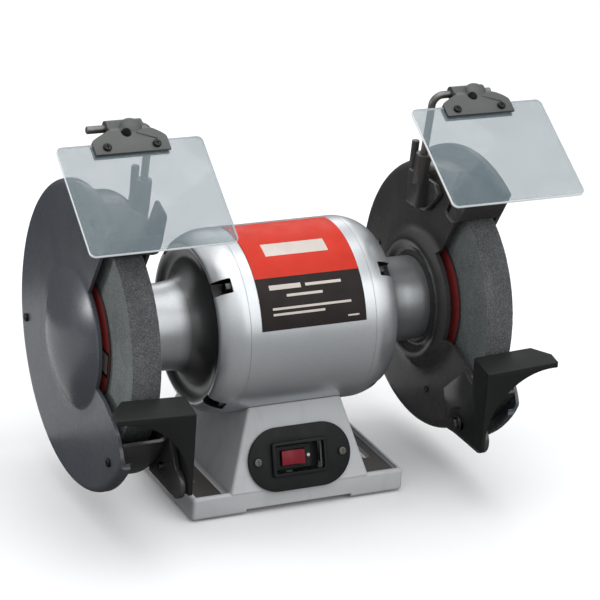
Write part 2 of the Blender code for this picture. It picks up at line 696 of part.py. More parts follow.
def make_stator():
    core = ring("stator_core", -STATOR_HALF, STATOR_HALF, STATOR_INNER, STATOR_OUTER,
                "laminated_steel")
    for angle in BOLT_ANGLES:
        cut(core, cylinder("groove", bolt_place(-0.04, BOLT_CIRCLE, angle),
                           bolt_place(0.04, BOLT_CIRCLE, angle), 0.0032, "laminated_steel", 8))
    for name, side in SIDES.items():
        start = STATOR_HALF + GAP
        profile = [(start, WINDING_OUTER - 0.003), (start, WINDING_INNER),
                   (WINDING_END - 0.004, WINDING_INNER), (WINDING_END, WINDING_INNER + 0.004),
                   (WINDING_END, WINDING_OUTER - 0.006), (WINDING_END - 0.004, WINDING_OUTER)]
        turned("stator_winding_" + name, profile, "copper_wire", side, MEDIUM)


def make_bearings():
    for name, side in SIDES.items():
        ring("bearing_outer_" + name, BEARING_INNER_X + GAP, BEARING_OUTER_X,
             BEARING_SPLIT + GAP, BEARING_RADIUS, "ground_steel", side)
        ring("bearing_inner_" + name, BEARING_INNER_X + GAP, BEARING_OUTER_X,
             SHAFT_BEARING_RADIUS + GAP, BEARING_SPLIT, "ground_steel", side)


def make_nameplate():
    """The printed plate wrapped on the shell's front, drawn as a slice of a thin ring."""
    inner, outer = SHELL_RADIUS + 0.0002, SHELL_RADIUS + 0.0006
    bottom, top = LABEL_ANGLES
    steps = 20
    points = arc((0, 0), outer, 180 - bottom, 180 - top, steps)
    points += arc((0, 0), inner, 180 - top, 180 - bottom, steps)
    outline("nameplate", points, LABEL_WIDTH, "label_print", ARBOR, SIDE_ON)


# ---------------------------------------------------------------- rotor and wheels
def make_shaft():
    half = [(SHAFT_HALF_LENGTH, 0), (SHAFT_HALF_LENGTH, SHAFT_END_RADIUS - 0.0012),
            (SHAFT_HALF_LENGTH - 0.0012, SHAFT_END_RADIUS),
            (SHAFT_SHOULDER, SHAFT_END_RADIUS), (SHAFT_SHOULDER, SHAFT_BEARING_RADIUS),
            (SHAFT_CORE_HALF, SHAFT_BEARING_RADIUS), (SHAFT_CORE_HALF, SHAFT_CORE_RADIUS)]
    mirrored = [(-along, radius) for along, radius in reversed(half)]
    turned("shaft", half + mirrored, "ground_steel", segments=COARSE, closed=False)
    ring("rotor_core", -ROTOR_HALF, ROTOR_HALF, SHAFT_CORE_RADIUS + GAP, ROTOR_RADIUS,
         "laminated_steel")


def make_wheel_stack(name, side):
    """Inner flange, two paper blotters, the wheel, outer flange and nut, in order."""
    inner_end = WHEEL_INNER_FACE - BLOTTER_THICKNESS - 2 * GAP
    start = inner_end - FLANGE_THICKNESS
    turned("inner_flange_" + name,
           [(SHAFT_SHOULDER - 0.0045, 0.0125), (SHAFT_SHOULDER - 0.0045, SHAFT_BEARING_RADIUS + GAP),
            (inner_end, SHAFT_BEARING_RADIUS + GAP), (inner_end, FLANGE_RADIUS),
            (start + 0.001, FLANGE_RADIUS), (start, FLANGE_RADIUS - 0.002), (start, 0.0125)],
           "zinc_steel", side, MEDIUM)
    ring("blotter_inner_" + name, WHEEL_INNER_FACE - BLOTTER_THICKNESS - GAP,
         WHEEL_INNER_FACE - GAP, WHEEL_BORE, BLOTTER_RADIUS, "blotter_paper", side)
    ring("grinding_wheel_" + name, WHEEL_INNER_FACE, WHEEL_OUTER_FACE, WHEEL_BORE, WHEEL_RADIUS,
         "abrasive", side, ROUND)
    ring("blotter_outer_" + name, WHEEL_OUTER_FACE + GAP,
         WHEEL_OUTER_FACE + GAP + BLOTTER_THICKNESS, WHEEL_BORE, BLOTTER_RADIUS,
         "blotter_paper", side)
    start = WHEEL_OUTER_FACE + BLOTTER_THICKNESS + 2 * GAP
    end = start + FLANGE_THICKNESS
    turned("outer_flange_" + name,
           [(start, WHEEL_BORE), (end, WHEEL_BORE), (end, FLANGE_RADIUS - 0.002),
            (end - 0.001, FLANGE_RADIUS), (start, FLANGE_RADIUS)], "zinc_steel", side, MEDIUM)
    begin = from_arbor(side * (end + GAP), 0, 0)
    stop = from_arbor(side * (end + GAP + NUT_THICKNESS), 0, 0)
    nut = cylinder("arbor_nut_" + name, begin, stop, NUT_ACROSS_FLATS / math.sqrt(3),
                   "zinc_steel", 6)
    reach = Vector((side * 0.01, 0, 0))
    cut(nut, cylinder("nut_bore", begin - reach, stop + reach, WHEEL_BORE, "zinc_steel", COARSE))


# ---------------------------------------------------------------- guards
def corner_points(steps=3):
    """The rounding from the inner plate to the rim, as (along, radius) points."""
    middle = (GUARD_PLATE_X + GUARD_CORNER, GUARD_RADIUS - GUARD_CORNER)
    return arc(middle, GUARD_CORNER, 90, 180, steps)


GUARD_RIM_PROFILE = ([(COVER_FACE_X - GUARD_SHEET - GAP, GUARD_RADIUS)] + corner_points() +
                     [(GUARD_PLATE_X, 0.0550)])
GUARD_BOSS_PROFILE = [(GUARD_PLATE_X + 0.0002, 0.0640), (GUARD_PLATE_X - 0.0012, 0.0600),
                      (0.1290, 0.0555), (0.1262, 0.0500), (0.1300, 0.0410), (0.1280, 0.0370),
                      (0.1280, 0.0140)]
COVER_RIM_PROFILE = ([(COVER_FACE_X, 0.0550)] +
                     arc((COVER_FACE_X - COVER_CORNER, COVER_RADIUS - COVER_CORNER),
                         COVER_CORNER, 0, 90, 2) + [(COVER_LIP_X, COVER_RADIUS)])
COVER_DOME_PROFILE = [(COVER_DOME_X, 0.0), (0.1925, 0.0200), (0.1866, 0.0400), (0.1815, 0.0510),
                      (COVER_FACE_X + 0.0006, 0.0590), (COVER_FACE_X - 0.0003, 0.0640)]


def opening_cutter(lower_edge, side):
    """Opens the guard in front of the wheel, outside the central disc.

    The lower edge is a list of (y, z) places from the arbor, from the disc outwards.
    """
    steps = 6
    first = math.degrees(math.atan2(lower_edge[0][1], -lower_edge[0][0]))
    disc = [around(GUARD_BOSS_RADIUS, OPEN_TOP + (first - OPEN_TOP) * i / steps)
            for i in range(steps)]
    points = disc + lower_edge + [around(0.30, 0), around(0.30, OPEN_TOP)]
    return outline("opening", points, 0.1, "guard_paint", from_arbor(side * 0.158, 0, 0), SIDE_ON)


def rest_lug(side):
    """The ear below the opening that the tool rest bolts to."""
    tip = (-0.122, -0.079)
    points = [(-0.060, -0.060), (-0.072, -0.0905)] + arc(tip, 0.0120, 268, 90, 6)
    points += [(-0.1035, -0.0370), (-0.090, -0.0315)]
    middle = 0.1356
    return outline("lug", points, 0.0046, "guard_paint", from_arbor(side * middle, 0, 0), SIDE_ON)


def deflector_seat(side):
    """A flange turned in from the rim's upper end, behind the spark deflector."""
    seat = box("seat", (-0.0190, -0.0014, 0.1055), (0.0165, 0.0014, GUARD_RADIUS - 0.001),
               "guard_paint", location=(0, 0, 0))
    seat.matrix_world = around_frame(side, DEFLECTOR_ANGLE + 2.4)
    return seat


def around_frame(side, angle):
    """Axes at the arbor in a wheel's middle plane: X outboard, Z radial at an angle."""
    turn = math.radians(angle)
    out = Vector((0, -math.cos(turn), math.sin(turn)))
    along = Vector((side, 0, 0))
    frame = Matrix((along, out.cross(along), out)).transposed().to_4x4()
    return Matrix.Translation(from_arbor(side * 0.157, 0, 0)) @ frame


def pressed_sheet(name, profile, side, centre):
    return turned(name, profile, "guard_paint", side, sheet=GUARD_SHEET, closed=False,
                  centre=centre)


def make_guard(name, side):
    """A flanged rim around the wheel, with a pressed boss centred on the arbor."""
    body = pressed_sheet("guard_body_" + name, GUARD_RIM_PROFILE, side, GUARD_CENTRE)
    join(body, pressed_sheet("boss", GUARD_BOSS_PROFILE, side, ARBOR))
    cut(body, opening_cutter(GUARD_LOWER_EDGE, side))
    join(body, rest_lug(side))
    join(body, deflector_seat(side))
    cut(body, cylinder("lug_hole", from_arbor(side * 0.12, REST_BOLT_Y, REST_BOLT_Z),
                       from_arbor(side * 0.143, REST_BOLT_Y, REST_BOLT_Z),
                       REST_BOLT_RADIUS + GAP, "guard_paint", 12))


def make_cover(name, side):
    """The outer cover: a flat face with a rolled lip and a dome over the arbor nut."""
    cover = pressed_sheet("guard_cover_" + name, COVER_RIM_PROFILE, side, GUARD_CENTRE)
    join(cover, pressed_sheet("dome", COVER_DOME_PROFILE, side, ARBOR))
    cut(cover, opening_cutter(COVER_LOWER_EDGE, side))


# ---------------------------------------------------------------- tool rests
def make_tool_rest(name, side):
    rest = rest_table(name, side)
    join(rest, rest_skirt(side))
    join(rest, rest_web(side))
    slot = rounded_box_outline(2 * (REST_TRAVEL + REST_BOLT_RADIUS + GAP),
                               2 * (REST_BOLT_RADIUS + GAP), REST_BOLT_RADIUS)
    cut(rest, outline("slot", slot, 0.02, "rest_casting",
                      from_arbor(side * REST_INNER_X, REST_BOLT_Y, REST_BOLT_Z), SIDE_ON))
    return rest


def rest_table(name, side):
    """The table, as a sloping section drawn out along X with its outer corner cut off."""
    section = [(REST_FRONT, REST_FRONT_HEIGHT), (REST_FRONT, REST_FRONT_HEIGHT - REST_THICKNESS),
               (REST_BACK, REST_BACK_HEIGHT - REST_THICKNESS), (REST_BACK, REST_BACK_HEIGHT)]
    middle = side * (REST_INNER_X + REST_OUTER_X) / 2
    table = outline("tool_rest_" + name, section, REST_OUTER_X - REST_INNER_X, "rest_casting",
                    from_arbor(middle, 0, 0), SIDE_ON)
    for vertex in table.data.vertices:
        if side * vertex.co.z > 0:
            vertex.co.y += REST_RISE
    corner = [(-0.013, 0), (0, -0.013), (0.01, -0.013), (0.01, 0.01), (-0.013, 0.01)]
    corner = [(side * x, y) for x, y in corner]
    cut(table, outline("chamfer", corner, 0.08, "rest_casting",
                       from_arbor(side * REST_OUTER_X, REST_BACK, 0), (0, 0, 0)))
    return table


def rest_skirt(side):
    """The front apron: deep at the motor side, shallow outboard, under a quarter arc."""
    top = REST_FRONT_HEIGHT - 0.001
    curve = arc((REST_ARC_X, REST_ARC_Z), REST_ARC_RADIUS, 180, 90, 10)
    points = [(REST_INNER_X, top), (REST_INNER_X, REST_FOOT)]
    points += [(REST_ARC_X - REST_ARC_RADIUS, REST_FOOT)] + curve
    points += [(REST_OUTER_X, curve[-1][1]), (REST_OUTER_X, top + REST_RISE)]
    points = [(side * x, z) for x, z in points]
    return outline("skirt", points, REST_WALL, "rest_casting",
                   from_arbor(0, REST_FRONT + REST_WALL / 2, 0), FACE_ON)


def rest_web(side):
    """The upright side web, with a foot that reaches back to the clamping bolt."""
    points = [(REST_BACK, REST_BACK_HEIGHT - 0.001), (REST_BACK - 0.001, -0.045),
              (-0.0960, -0.0635), (-0.0830, -0.0665), (-0.0810, -0.0700), (-0.0810, -0.0800),
              (-0.0850, REST_FOOT), (REST_FRONT + 0.002, REST_FOOT),
              (REST_FRONT + 0.002, REST_FRONT_HEIGHT - 0.001)]
    middle = side * (REST_INNER_X + REST_WALL / 2)
    return outline("web", points, REST_WALL, "rest_casting", from_arbor(middle, 0, 0), SIDE_ON)


def make_rest_bolt(name, side):
    """A hexagon bolt through the web's slot and the guard's ear, with a washer face."""
    head = REST_INNER_X - GAP
    bolt = cylinder("tool_rest_bolt_" + name, from_arbor(side * (head - 0.0055), REST_BOLT_Y,
                                                         REST_BOLT_Z),
                    from_arbor(side * (head - 0.0012), REST_BOLT_Y, REST_BOLT_Z), 0.0056,
                    "zinc_steel", 6)
    join(bolt, cylinder("washer", from_arbor(side * (head - 0.0016), REST_BOLT_Y, REST_BOLT_Z),
                        from_arbor(side * head, REST_BOLT_Y, REST_BOLT_Z), 0.0068,
                        "zinc_steel", 16))
    join(bolt, cylinder("shank", from_arbor(side * (head - 0.002), REST_BOLT_Y, REST_BOLT_Z),
                        from_arbor(side * 0.1415, REST_BOLT_Y, REST_BOLT_Z), REST_BOLT_RADIUS,
                        "zinc_steel", 12))


# ---------------------------------------------------------------- eye shields
def leg_point(side, height, lift=0.0):
    """A place on the shield rod's leg, at a height from the arbor."""
    lean = math.tan(math.radians(ROD_LEAN))
    y = ROD_TOP_Y + (ROD_TOP_Z - height) * lean
    return Vector((side * ROD_LEG_X, ARBOR_Y + y, ARBOR_Z + height)) + rod_shift(lift)


def rod_shift(lift):
    lean = math.radians(ROD_LEAN)
    return Vector((0, -lift * math.sin(lean), lift * math.cos(lean)))


def make_shield_rod(name, side):
    """A bent bar: a leg up out of the bracket, then a level arm that carries the shield."""
    lift = ROD_LIFT[side]
    foot = leg_point(side, ROD_FOOT_Z, lift)
    corner = leg_point(side, ROD_TOP_Z, lift)
    tip = corner + Vector((side * (ROD_END_X - ROD_LEG_X), 0, 0))
    down = (foot - corner).normalized()
    along = (tip - corner).normalized()
    centre = corner + (down + along) * ROD_BEND
    bend = [centre - along * ROD_BEND * math.cos(a) - down * ROD_BEND * math.sin(a)
            for a in [math.radians(90 * i / 5) for i in range(6)]]
    curve = bpy.data.curves.new("shield_rod_" + name, "CURVE")
    curve.dimensions = "3D"
    curve.bevel_depth = ROD_RADIUS
    curve.bevel_resolution = 2
    curve.use_fill_caps = True
    spline = curve.splines.new("POLY")
    path = [foot] + bend + [tip]
    spline.points.add(len(path) - 1)
    for target, place in zip(spline.points, path):
        target.co = (*(place - foot), 1)
    curve_part("shield_rod_" + name, curve, "zinc_steel", foot)


def make_shield_bracket(name, side):
    """The casting on the guard that holds the rod: foot plate, block, sleeve and lug."""
    inner, outer = GUARD_PLATE_X - GAP, BRACKET_FACE_X
    bracket = outline("shield_bracket_" + name, BRACKET_FOOT, inner - outer, "guard_paint",
                      from_arbor(side * (inner + outer) / 2, 0, 0), SIDE_ON)
    low_x, high_x = sorted((side * BRACKET_BLOCK_X, side * (outer + 0.001)))
    join(bracket, box("block", from_arbor(low_x, -0.0085, 0.0835),
                      from_arbor(high_x, 0.0110, 0.1130), "guard_paint"))
    join(bracket, cylinder("sleeve", leg_point(side, SLEEVE_BOTTOM), leg_point(side, SLEEVE_TOP),
                           SLEEVE_RADIUS, "guard_paint", 16))
    join(bracket, cylinder("lug", from_arbor(side * 0.1262, 0.0135, 0.100),
                           from_arbor(side * 0.1262, 0.0110, 0.1370), 0.0032, "guard_paint", 12))
    cut(bracket, cylinder("bore", leg_point(side, 0.06), leg_point(side, 0.15),
                          ROD_RADIUS + GAP, "guard_paint", 16))


def shield_frame(name, side):
    """An empty on the rod's level arm: X across, Y down the shield, Z off its front."""
    place = leg_point(side, ROD_TOP_Z, ROD_LIFT[side])
    tilt = math.radians(SHIELD_TILT[side])
    down = Vector((0, -math.sin(tilt), -math.cos(tilt)))
    front = Vector((0, -math.cos(tilt), math.sin(tilt)))
    frame = empty("shield_hinge_" + name, (side * SHIELD_X, place.y, place.z))
    axes = Matrix((down.cross(front), down, front)).transposed()
    frame.rotation_euler = axes.to_euler()
    return frame


def make_eye_shield(name, side):
    frame = shield_frame(name, side)
    middle = (0, SHIELD_START + SHIELD_LENGTH / 2)
    points = rounded_box_outline(SHIELD_WIDTH, SHIELD_LENGTH, 0.005, middle, 3)
    outline("eye_shield_" + name, points, SHIELD_THICKNESS, "clear_plastic",
            (0, 0, SHIELD_OFFSET), (0, 0, 0), frame)
    make_shield_clamp(name, frame)


def make_shield_clamp(name, frame):
    """A rolled eye around the rod that opens into two jaws holding the shield's edge."""
    front = SHIELD_OFFSET + SHIELD_THICKNESS / 2 + GAP
    back = SHIELD_OFFSET - SHIELD_THICKNESS / 2 - GAP
    section = [(-0.0035, -0.0051)] + arc((0, 0), CLAMP_ROLL, 235, 85, 9)
    section += [(0.0150, front + CLAMP_JAW), (CLAMP_END, front + CLAMP_JAW),
                (CLAMP_END, back - CLAMP_JAW), (0.0150, back - CLAMP_JAW), (0.0075, -0.0030)]
    clamp = outline("shield_clamp_" + name, section, CLAMP_WIDTH, "clamp_paint", (0, 0, 0),
                    SIDE_ON, frame)
    low, high = CLAMP_EYE
    half = CLAMP_WIDTH / 2
    edge = [(-half, 0.05), (-half, 0.0195), (low - 0.001, 0.0085), (low, -0.02), (high, -0.02),
            (high + 0.001, 0.0085), (half, 0.0195), (half, 0.05)]
    boolean(clamp, outline("edge", edge, 0.06, "clamp_paint", (0, 0, 0), (0, 0, 0), frame),
            "INTERSECT")
    cut(clamp, box("slot", (-0.05, SHIELD_START - GAP, back), (0.05, 0.05, front),
                   "clamp_paint", frame, location=(0, 0, 0)))
    cut(clamp, cylinder("eye", (-0.05, 0, 0), (0.05, 0, 0), ROD_RADIUS + GAP, "clamp_paint",
                        16, frame))
    cut(clamp, cylinder("notch", (0, 0.0125, 0.004), (0, 0.0125, 0.03), CLAMP_NOTCH_RADIUS,
                        "clamp_paint", 12, frame))


# ---------------------------------------------------------------- spark deflectors
def make_deflector(name, side):
    """The small plate above the opening that is slid towards the wheel as it wears.

    It is bent from one sheet with an ear that lies on the guard's inner plate.
    """
    plate = box("spark_deflector_" + name, (-0.0225, -0.0010, DEFLECTOR_TIP),
                (0.0150, 0.0010, DEFLECTOR_TOP), "guard_paint", location=(0, 0, 0))
    plate.matrix_world = around_frame(side, DEFLECTOR_ANGLE)
    middle = GUARD_PLATE_X - GAP - EAR_THICKNESS / 2
    join(plate, outline("ear", DEFLECTOR_EAR, EAR_THICKNESS, "guard_paint",
                        from_arbor(side * middle, 0, 0), SIDE_ON))
    slot = box("slot", (-0.030, -0.0022, 0.0985), (-0.010, 0.0022, 0.1075), "guard_paint",
               location=(0, 0, 0))
    slot.matrix_world = around_frame(side, DEFLECTOR_ANGLE + 9)
    cut(plate, slot)


# ---------------------------------------------------------------- assembly
def make_grinder():
    make_base()
    make_feet()
    make_bottom_plate()
    make_switch_plate()
    make_switch_screws()
    make_switch_housing()
    make_rocker()
    make_cord_grommet()
    make_capacitor()
    make_motor_shell()
    make_through_bolts()
    make_stator()
    make_bearings()
    make_nameplate()
    make_shaft()
    for name, side in SIDES.items():
        make_end_bell(name, side)
        make_wheel_stack(name, side)
        make_guard(name, side)
        make_cover(name, side)
        make_tool_rest(name, side)
        make_rest_bolt(name, side)
        make_shield_rod(name, side)
        make_shield_bracket(name, side)
        make_eye_shield(name, side)
        make_deflector(name, side)


make_grinder()
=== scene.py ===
"""Looks of a double-ended bench grinder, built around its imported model.

Lengths are in metres and angles in degrees unless a name says otherwise. The arbor
lies along X, the operator stands at -Y and the feet stand on Z = 0. An angle "around
the arbor" starts at the front and rises towards +Z. Outlines named "from the arbor"
hold (y, z) places measured from the arbor's axis.
"""
import json
import math

import bmesh
import bpy
from mathutils import Matrix, Vector, noise


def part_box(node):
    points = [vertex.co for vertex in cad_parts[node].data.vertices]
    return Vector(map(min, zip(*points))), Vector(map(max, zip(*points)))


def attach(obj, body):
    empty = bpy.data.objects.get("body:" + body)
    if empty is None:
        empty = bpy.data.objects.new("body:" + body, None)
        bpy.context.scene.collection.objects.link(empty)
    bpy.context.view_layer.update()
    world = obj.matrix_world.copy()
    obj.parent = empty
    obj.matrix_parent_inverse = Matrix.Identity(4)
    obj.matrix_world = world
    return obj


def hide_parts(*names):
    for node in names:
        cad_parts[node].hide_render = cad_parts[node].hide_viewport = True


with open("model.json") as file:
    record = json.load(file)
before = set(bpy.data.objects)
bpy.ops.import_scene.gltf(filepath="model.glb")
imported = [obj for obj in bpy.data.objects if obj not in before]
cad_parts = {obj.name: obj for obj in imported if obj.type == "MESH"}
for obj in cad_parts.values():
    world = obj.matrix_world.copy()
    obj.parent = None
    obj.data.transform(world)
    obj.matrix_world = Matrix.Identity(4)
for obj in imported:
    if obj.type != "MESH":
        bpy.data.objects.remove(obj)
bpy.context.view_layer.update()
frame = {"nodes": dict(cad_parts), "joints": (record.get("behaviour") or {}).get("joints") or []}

# ---------------------------------------------------------------- places from the frame
JOINTS = {joint["name"]: joint for joint in frame["joints"]}
ARBOR = Vector(JOINTS["rotor_spin"]["pos_m"])
SIDES = {"left": -1, "right": 1}


def extent(node):
    """Where a node starts and ends along the arbor."""
    low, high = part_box(node)
    return low.x, high.x


def half_height(node):
    low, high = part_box(node)
    return (high.z - low.z) / 2


WHEEL_INNER_X, WHEEL_OUTER_X = extent("grinding_wheel_right")
WHEEL_RADIUS = half_height("grinding_wheel_right")
BLOTTER_RADIUS = half_height("blotter_outer_right")
BORE_RADIUS = 0.0082
NUT_ACROSS_FLATS = 0.024
FLANGE_RADIUS = half_height("outer_flange_right")
SHELL_RADIUS = half_height("motor_shell")
SHELL_HALF = extent("motor_shell")[1]
COVER_LIP_X = extent("guard_cover_right")[0]
COVER_DOME_X = extent("guard_cover_right")[1]
COVER_RADIUS = half_height("guard_cover_right")
RIM_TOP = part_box("guard_cover_right")[1]
GUARD_CENTRE = Vector((0, RIM_TOP.y - COVER_RADIUS, RIM_TOP.z - COVER_RADIUS))

# ---------------------------------------------------------------- sizes of the sheet and castings
GAP = 0.0003
SHARP_ANGLE = 38
GUARD_RADIUS = 0.115
GUARD_SHEET = 0.003
GUARD_PLATE_X = 0.136
GUARD_CORNER = 0.009
EAR_INNER_X, EAR_OUTER_X = 0.1333, 0.1379
SEAT_X = GUARD_PLATE_X - GAP
COVER_FACE_X = 0.1785
COVER_CORNER = 0.0055
BOSS_RADIUS = 0.0575
COVER_SCREWS = (0.1105, (75, 194, 318))
PLATE_SCREWS = (0.0800, (108, 165, 228, 290))
DOME_FOOT = 0.0580
OPEN_TOP = 60
NECK_RADIUS = 0.0358
NECK_END = 0.1277
BOLT_CIRCLE = 0.0695
BOLT_ANGLES = (45, 135, 225, 315)
BOLT_SEAT_X = 0.066
# Radii where the end bells' painted shade fades out, at the annulus rim and towards the neck.
DISH_SHADE_RIM = (0.0660, 0.0610)
DISH_SHADE_FOOT = (0.0361, 0.0380)
POCKET_HALF = 0.0062
POCKET_DEPTH = 0.0052

BASE_LOW, BASE_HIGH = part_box("base_casting")
FLANGE_TOP = 0.0212
TRAY_FLOOR = 0.0162
TRAY_LIP = 0.0035
PEDESTAL_HALF_WIDTH = 0.0628
PEDESTAL_TOP = BASE_HIGH.z
PEDESTAL_SLOPE_X = 0.3166
PEDESTAL_SLOPE_Y = 0.3266
BASE_WALL = 0.004
PAD_RAISE = 0.004
PAD_LENGTH = 0.048
PAD_RADIUS = 0.011
CORNER_INSET = 0.0165
BENCH_SLOT = (0.0085, 0.024)
BENCH_SLOT_X = 0.081
BENCH_SLOT_Y = (-0.020, 0.030)
INLET_UP_SLOPE = 0.018
INLET_HOLE_RADIUS = 0.0075
WALL_LEAN = math.atan(PEDESTAL_SLOPE_Y)
SWITCH_UP_SLOPE = 0.0234
SWITCH_SHIFT = -0.001
SWITCH_PLATE_HEIGHT = 0.0533
SWITCH_SCREW_X = 0.0385
ROCKER_X = -0.005
ROCKER_PIVOT = -0.004
ROCKER_HALF = 0.0100
ROCKER_WIDTH = 0.0120
ROCKER_TILT = -8
LABEL_HALF = extent("nameplate")[1]
LABEL_BOTTOM, LABEL_SPLIT, LABEL_TOP = 14, 46, 100

REST_INNER_X, REST_OUTER_X = extent("tool_rest_right")
REST_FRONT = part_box("tool_rest_right")[0].y - ARBOR.y
REST_BACK = -0.112
REST_BACK_HEIGHT = -0.0095
REST_FRONT_HEIGHT = -0.0145
REST_THICKNESS = 0.0048
REST_RISE = 0.0030
REST_WALL = 0.0042
REST_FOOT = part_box("tool_rest_right")[0].z - ARBOR.z
REST_ARC = (0.191, -0.0755, 0.0588)
REST_BOLT = (-0.097, -0.075)

ROD_RADIUS = 0.0031
ROD_BEND = 0.009
SHIELD_WIDTH = 0.1212
SHIELD_LENGTH = 0.0996
SHIELD_THICKNESS = 0.003
SHIELD_START = 0.0212
SHIELD_OFFSET = 0.0098
SHIELD_TILT = {"left": 54.1, "right": 57.6}
CLAMP_HALF = 0.031
CLAMP_EYE = (-0.0180, 0.0105)
CLAMP_SCREW_X = 0.0205
DEFLECTOR_ANGLE = 57.4


# ---------------------------------------------------------------- points and profiles
AT_ARBOR = Matrix.Translation((0, ARBOR.y, ARBOR.z))


def from_arbor(x, y, z):
    return Vector((x, ARBOR.y + y, ARBOR.z + z))


def axes_of(x, y, z):
    """The turn that carries X, Y and Z onto three given directions."""
    return Matrix((x, y, z)).transposed().to_4x4()


def around(radius, angle):
    """The (y, z) place from the arbor at a radius and an angle around the arbor."""
    turn = math.radians(angle)
    return (-radius * math.cos(turn), radius * math.sin(turn))


def arc(centre, radius, start, stop, steps):
    angles = [math.radians(start + (stop - start) * i / steps) for i in range(steps + 1)]
    return [(centre[0] + radius * math.cos(a), centre[1] + radius * math.sin(a)) for a in angles]


def rounded_rectangle(width, height, radius, centre=(0, 0), steps=6):
    x, y = width / 2 - radius, height / 2 - radius
    corners = ((x, y, 0), (-x, y, 90), (-x, -y, 180), (x, -y, 270))
    return [point for cx, cy, start in corners
            for point in arc((centre[0] + cx, centre[1] + cy), radius, start, start + 90, steps)]


def flowing(points, steps=5):
    """A smooth open line through the points (Catmull-Rom)."""
    line = [Vector(point) for point in points]
    padded = [2 * line[0] - line[1]] + line + [2 * line[-1] - line[-2]]
    result = []
    for a, b, c, d in zip(padded, padded[1:], padded[2:], padded[3:]):
        for i in range(steps):
            t = i / steps
            result.append(0.5 * ((2 * b) + (c - a) * t + (2 * a - 5 * b + 4 * c - d) * t ** 2 +
                                 (3 * b - a - 3 * c + d) * t ** 3))
    return [tuple(point) for point in result] + [tuple(line[-1])]


def softened(points, radius, steps=4):
    """A closed outline with each corner rounded by a short curve."""
    result = []
    count = len(points)
    for i, point in enumerate(points):
        here, before, after = Vector(point), Vector(points[i - 1]), Vector(points[(i + 1) % count])
        into, out = before - here, after - here
        cut_in = min(radius, into.length * 0.45)
        cut_out = min(radius, out.length * 0.45)
        first, last = here + into.normalized() * cut_in, here + out.normalized() * cut_out
        for k in range(steps + 1):
            t = k / steps
            result.append(tuple(first * (1 - t) ** 2 + here * 2 * t * (1 - t) + last * t * t))
    return result


def sheet_section(points, thickness):
    """Close a sheet's outer line with its inner face; the sheet lies left of the line."""
    line = [Vector(point) for point in points]
    inner = []
    for i, here in enumerate(line):
        before = line[max(i - 1, 0)]
        after = line[min(i + 1, len(line) - 1)]
        along = (after - before).normalized()
        inner.append((here.x - along.y * thickness, here.y + along.x * thickness))
    return list(points) + inner[::-1]


# ---------------------------------------------------------------- mesh helpers
def as_object(name, shape):
    mesh = bpy.data.meshes.new(name)
    shape.to_mesh(mesh)
    shape.free()
    obj = bpy.data.objects.new(name, mesh)
    bpy.context.scene.collection.objects.link(obj)
    return obj


def round_edges(shape, width, steps=2, above=30):
    sharp = [e for e in shape.edges if e.calc_face_angle(0) > math.radians(above)]
    bmesh.ops.bevel(shape, geom=sharp, offset=width, offset_type="OFFSET", segments=steps,
                    profile=0.5, affect="EDGES", clamp_overlap=True)


def lathe(name, profile, side=1, segments=192, closed=True, warp=None):
    """Turn (along, radius) points about the arbor; side -1 mirrors the piece.

    warp maps a radius to how far the ring's centre has moved to the guard's centre.
    """
    shape = bmesh.new()
    rings = []
    shift = GUARD_CENTRE - Vector((0, ARBOR.y, ARBOR.z))
    for i in range(segments):
        turn = 2 * math.pi * i / segments
        ring = []
        for along, radius in profile:
            offset = shift * (warp(radius) if warp else 0)
            ring.append(shape.verts.new((side * along,
                                         ARBOR.y + offset.y + radius * math.cos(turn),
                                         ARBOR.z + offset.z + radius * math.sin(turn))))
        rings.append(ring)
    count = len(profile)
    for i in range(segments):
        here, there = rings[i], rings[(i + 1) % segments]
        for k in range(count if closed else count - 1):
            after = (k + 1) % count
            shape.faces.new((here[k], there[k], there[after], here[after]))
    bmesh.ops.remove_doubles(shape, verts=shape.verts, dist=0.0000005)
    bmesh.ops.recalc_face_normals(shape, faces=shape.faces)
    return as_object(name, shape)


PLANES = {
    "yz": lambda a, b, depth: Vector((depth, a, b)),
    "xz": lambda a, b, depth: Vector((a, depth, b)),
    "xy": lambda a, b, depth: Vector((a, b, depth)),
}


def prism(name, points, low, high, plane="xy", bevel=0.0, steps=2, place=None):
    """An outline drawn through a thickness, with its edges rounded, then set in place."""
    shape = bmesh.new()
    put = PLANES[plane]
    bottom = [shape.verts.new(put(a, b, low)) for a, b in points]
    top = [shape.verts.new(put(a, b, high)) for a, b in points]
    shape.faces.new(bottom)
    shape.faces.new(top)
    for i in range(len(points)):
        after = (i + 1) % len(points)
        shape.faces.new((bottom[i], bottom[after], top[after], top[i]))
    bmesh.ops.recalc_face_normals(shape, faces=shape.faces)
    if bevel:
        round_edges(shape, bevel, steps)
    if place is not None:
        bmesh.ops.transform(shape, matrix=place, verts=shape.verts)
    return as_object(name, shape)


def span(side, near, far):
    """Two distances from the middle as lower and higher X on one side."""
    return sorted((side * near, side * far))


def side_plate(name, points, side, near, far, bevel=0.0, steps=2):
    """A plate square to the arbor: an outline from the arbor, and how far out its faces lie."""
    low, high = span(side, near, far)
    return prism(name, points, low, high, "yz", bevel, steps, AT_ARBOR)


def block(name, low, high, bevel=0.0, steps=2, place=None):
    points = [(low[0], low[1]), (high[0], low[1]), (high[0], high[1]), (low[0], high[1])]
    return prism(name, points, low[2], high[2], "xy", bevel, steps, place)


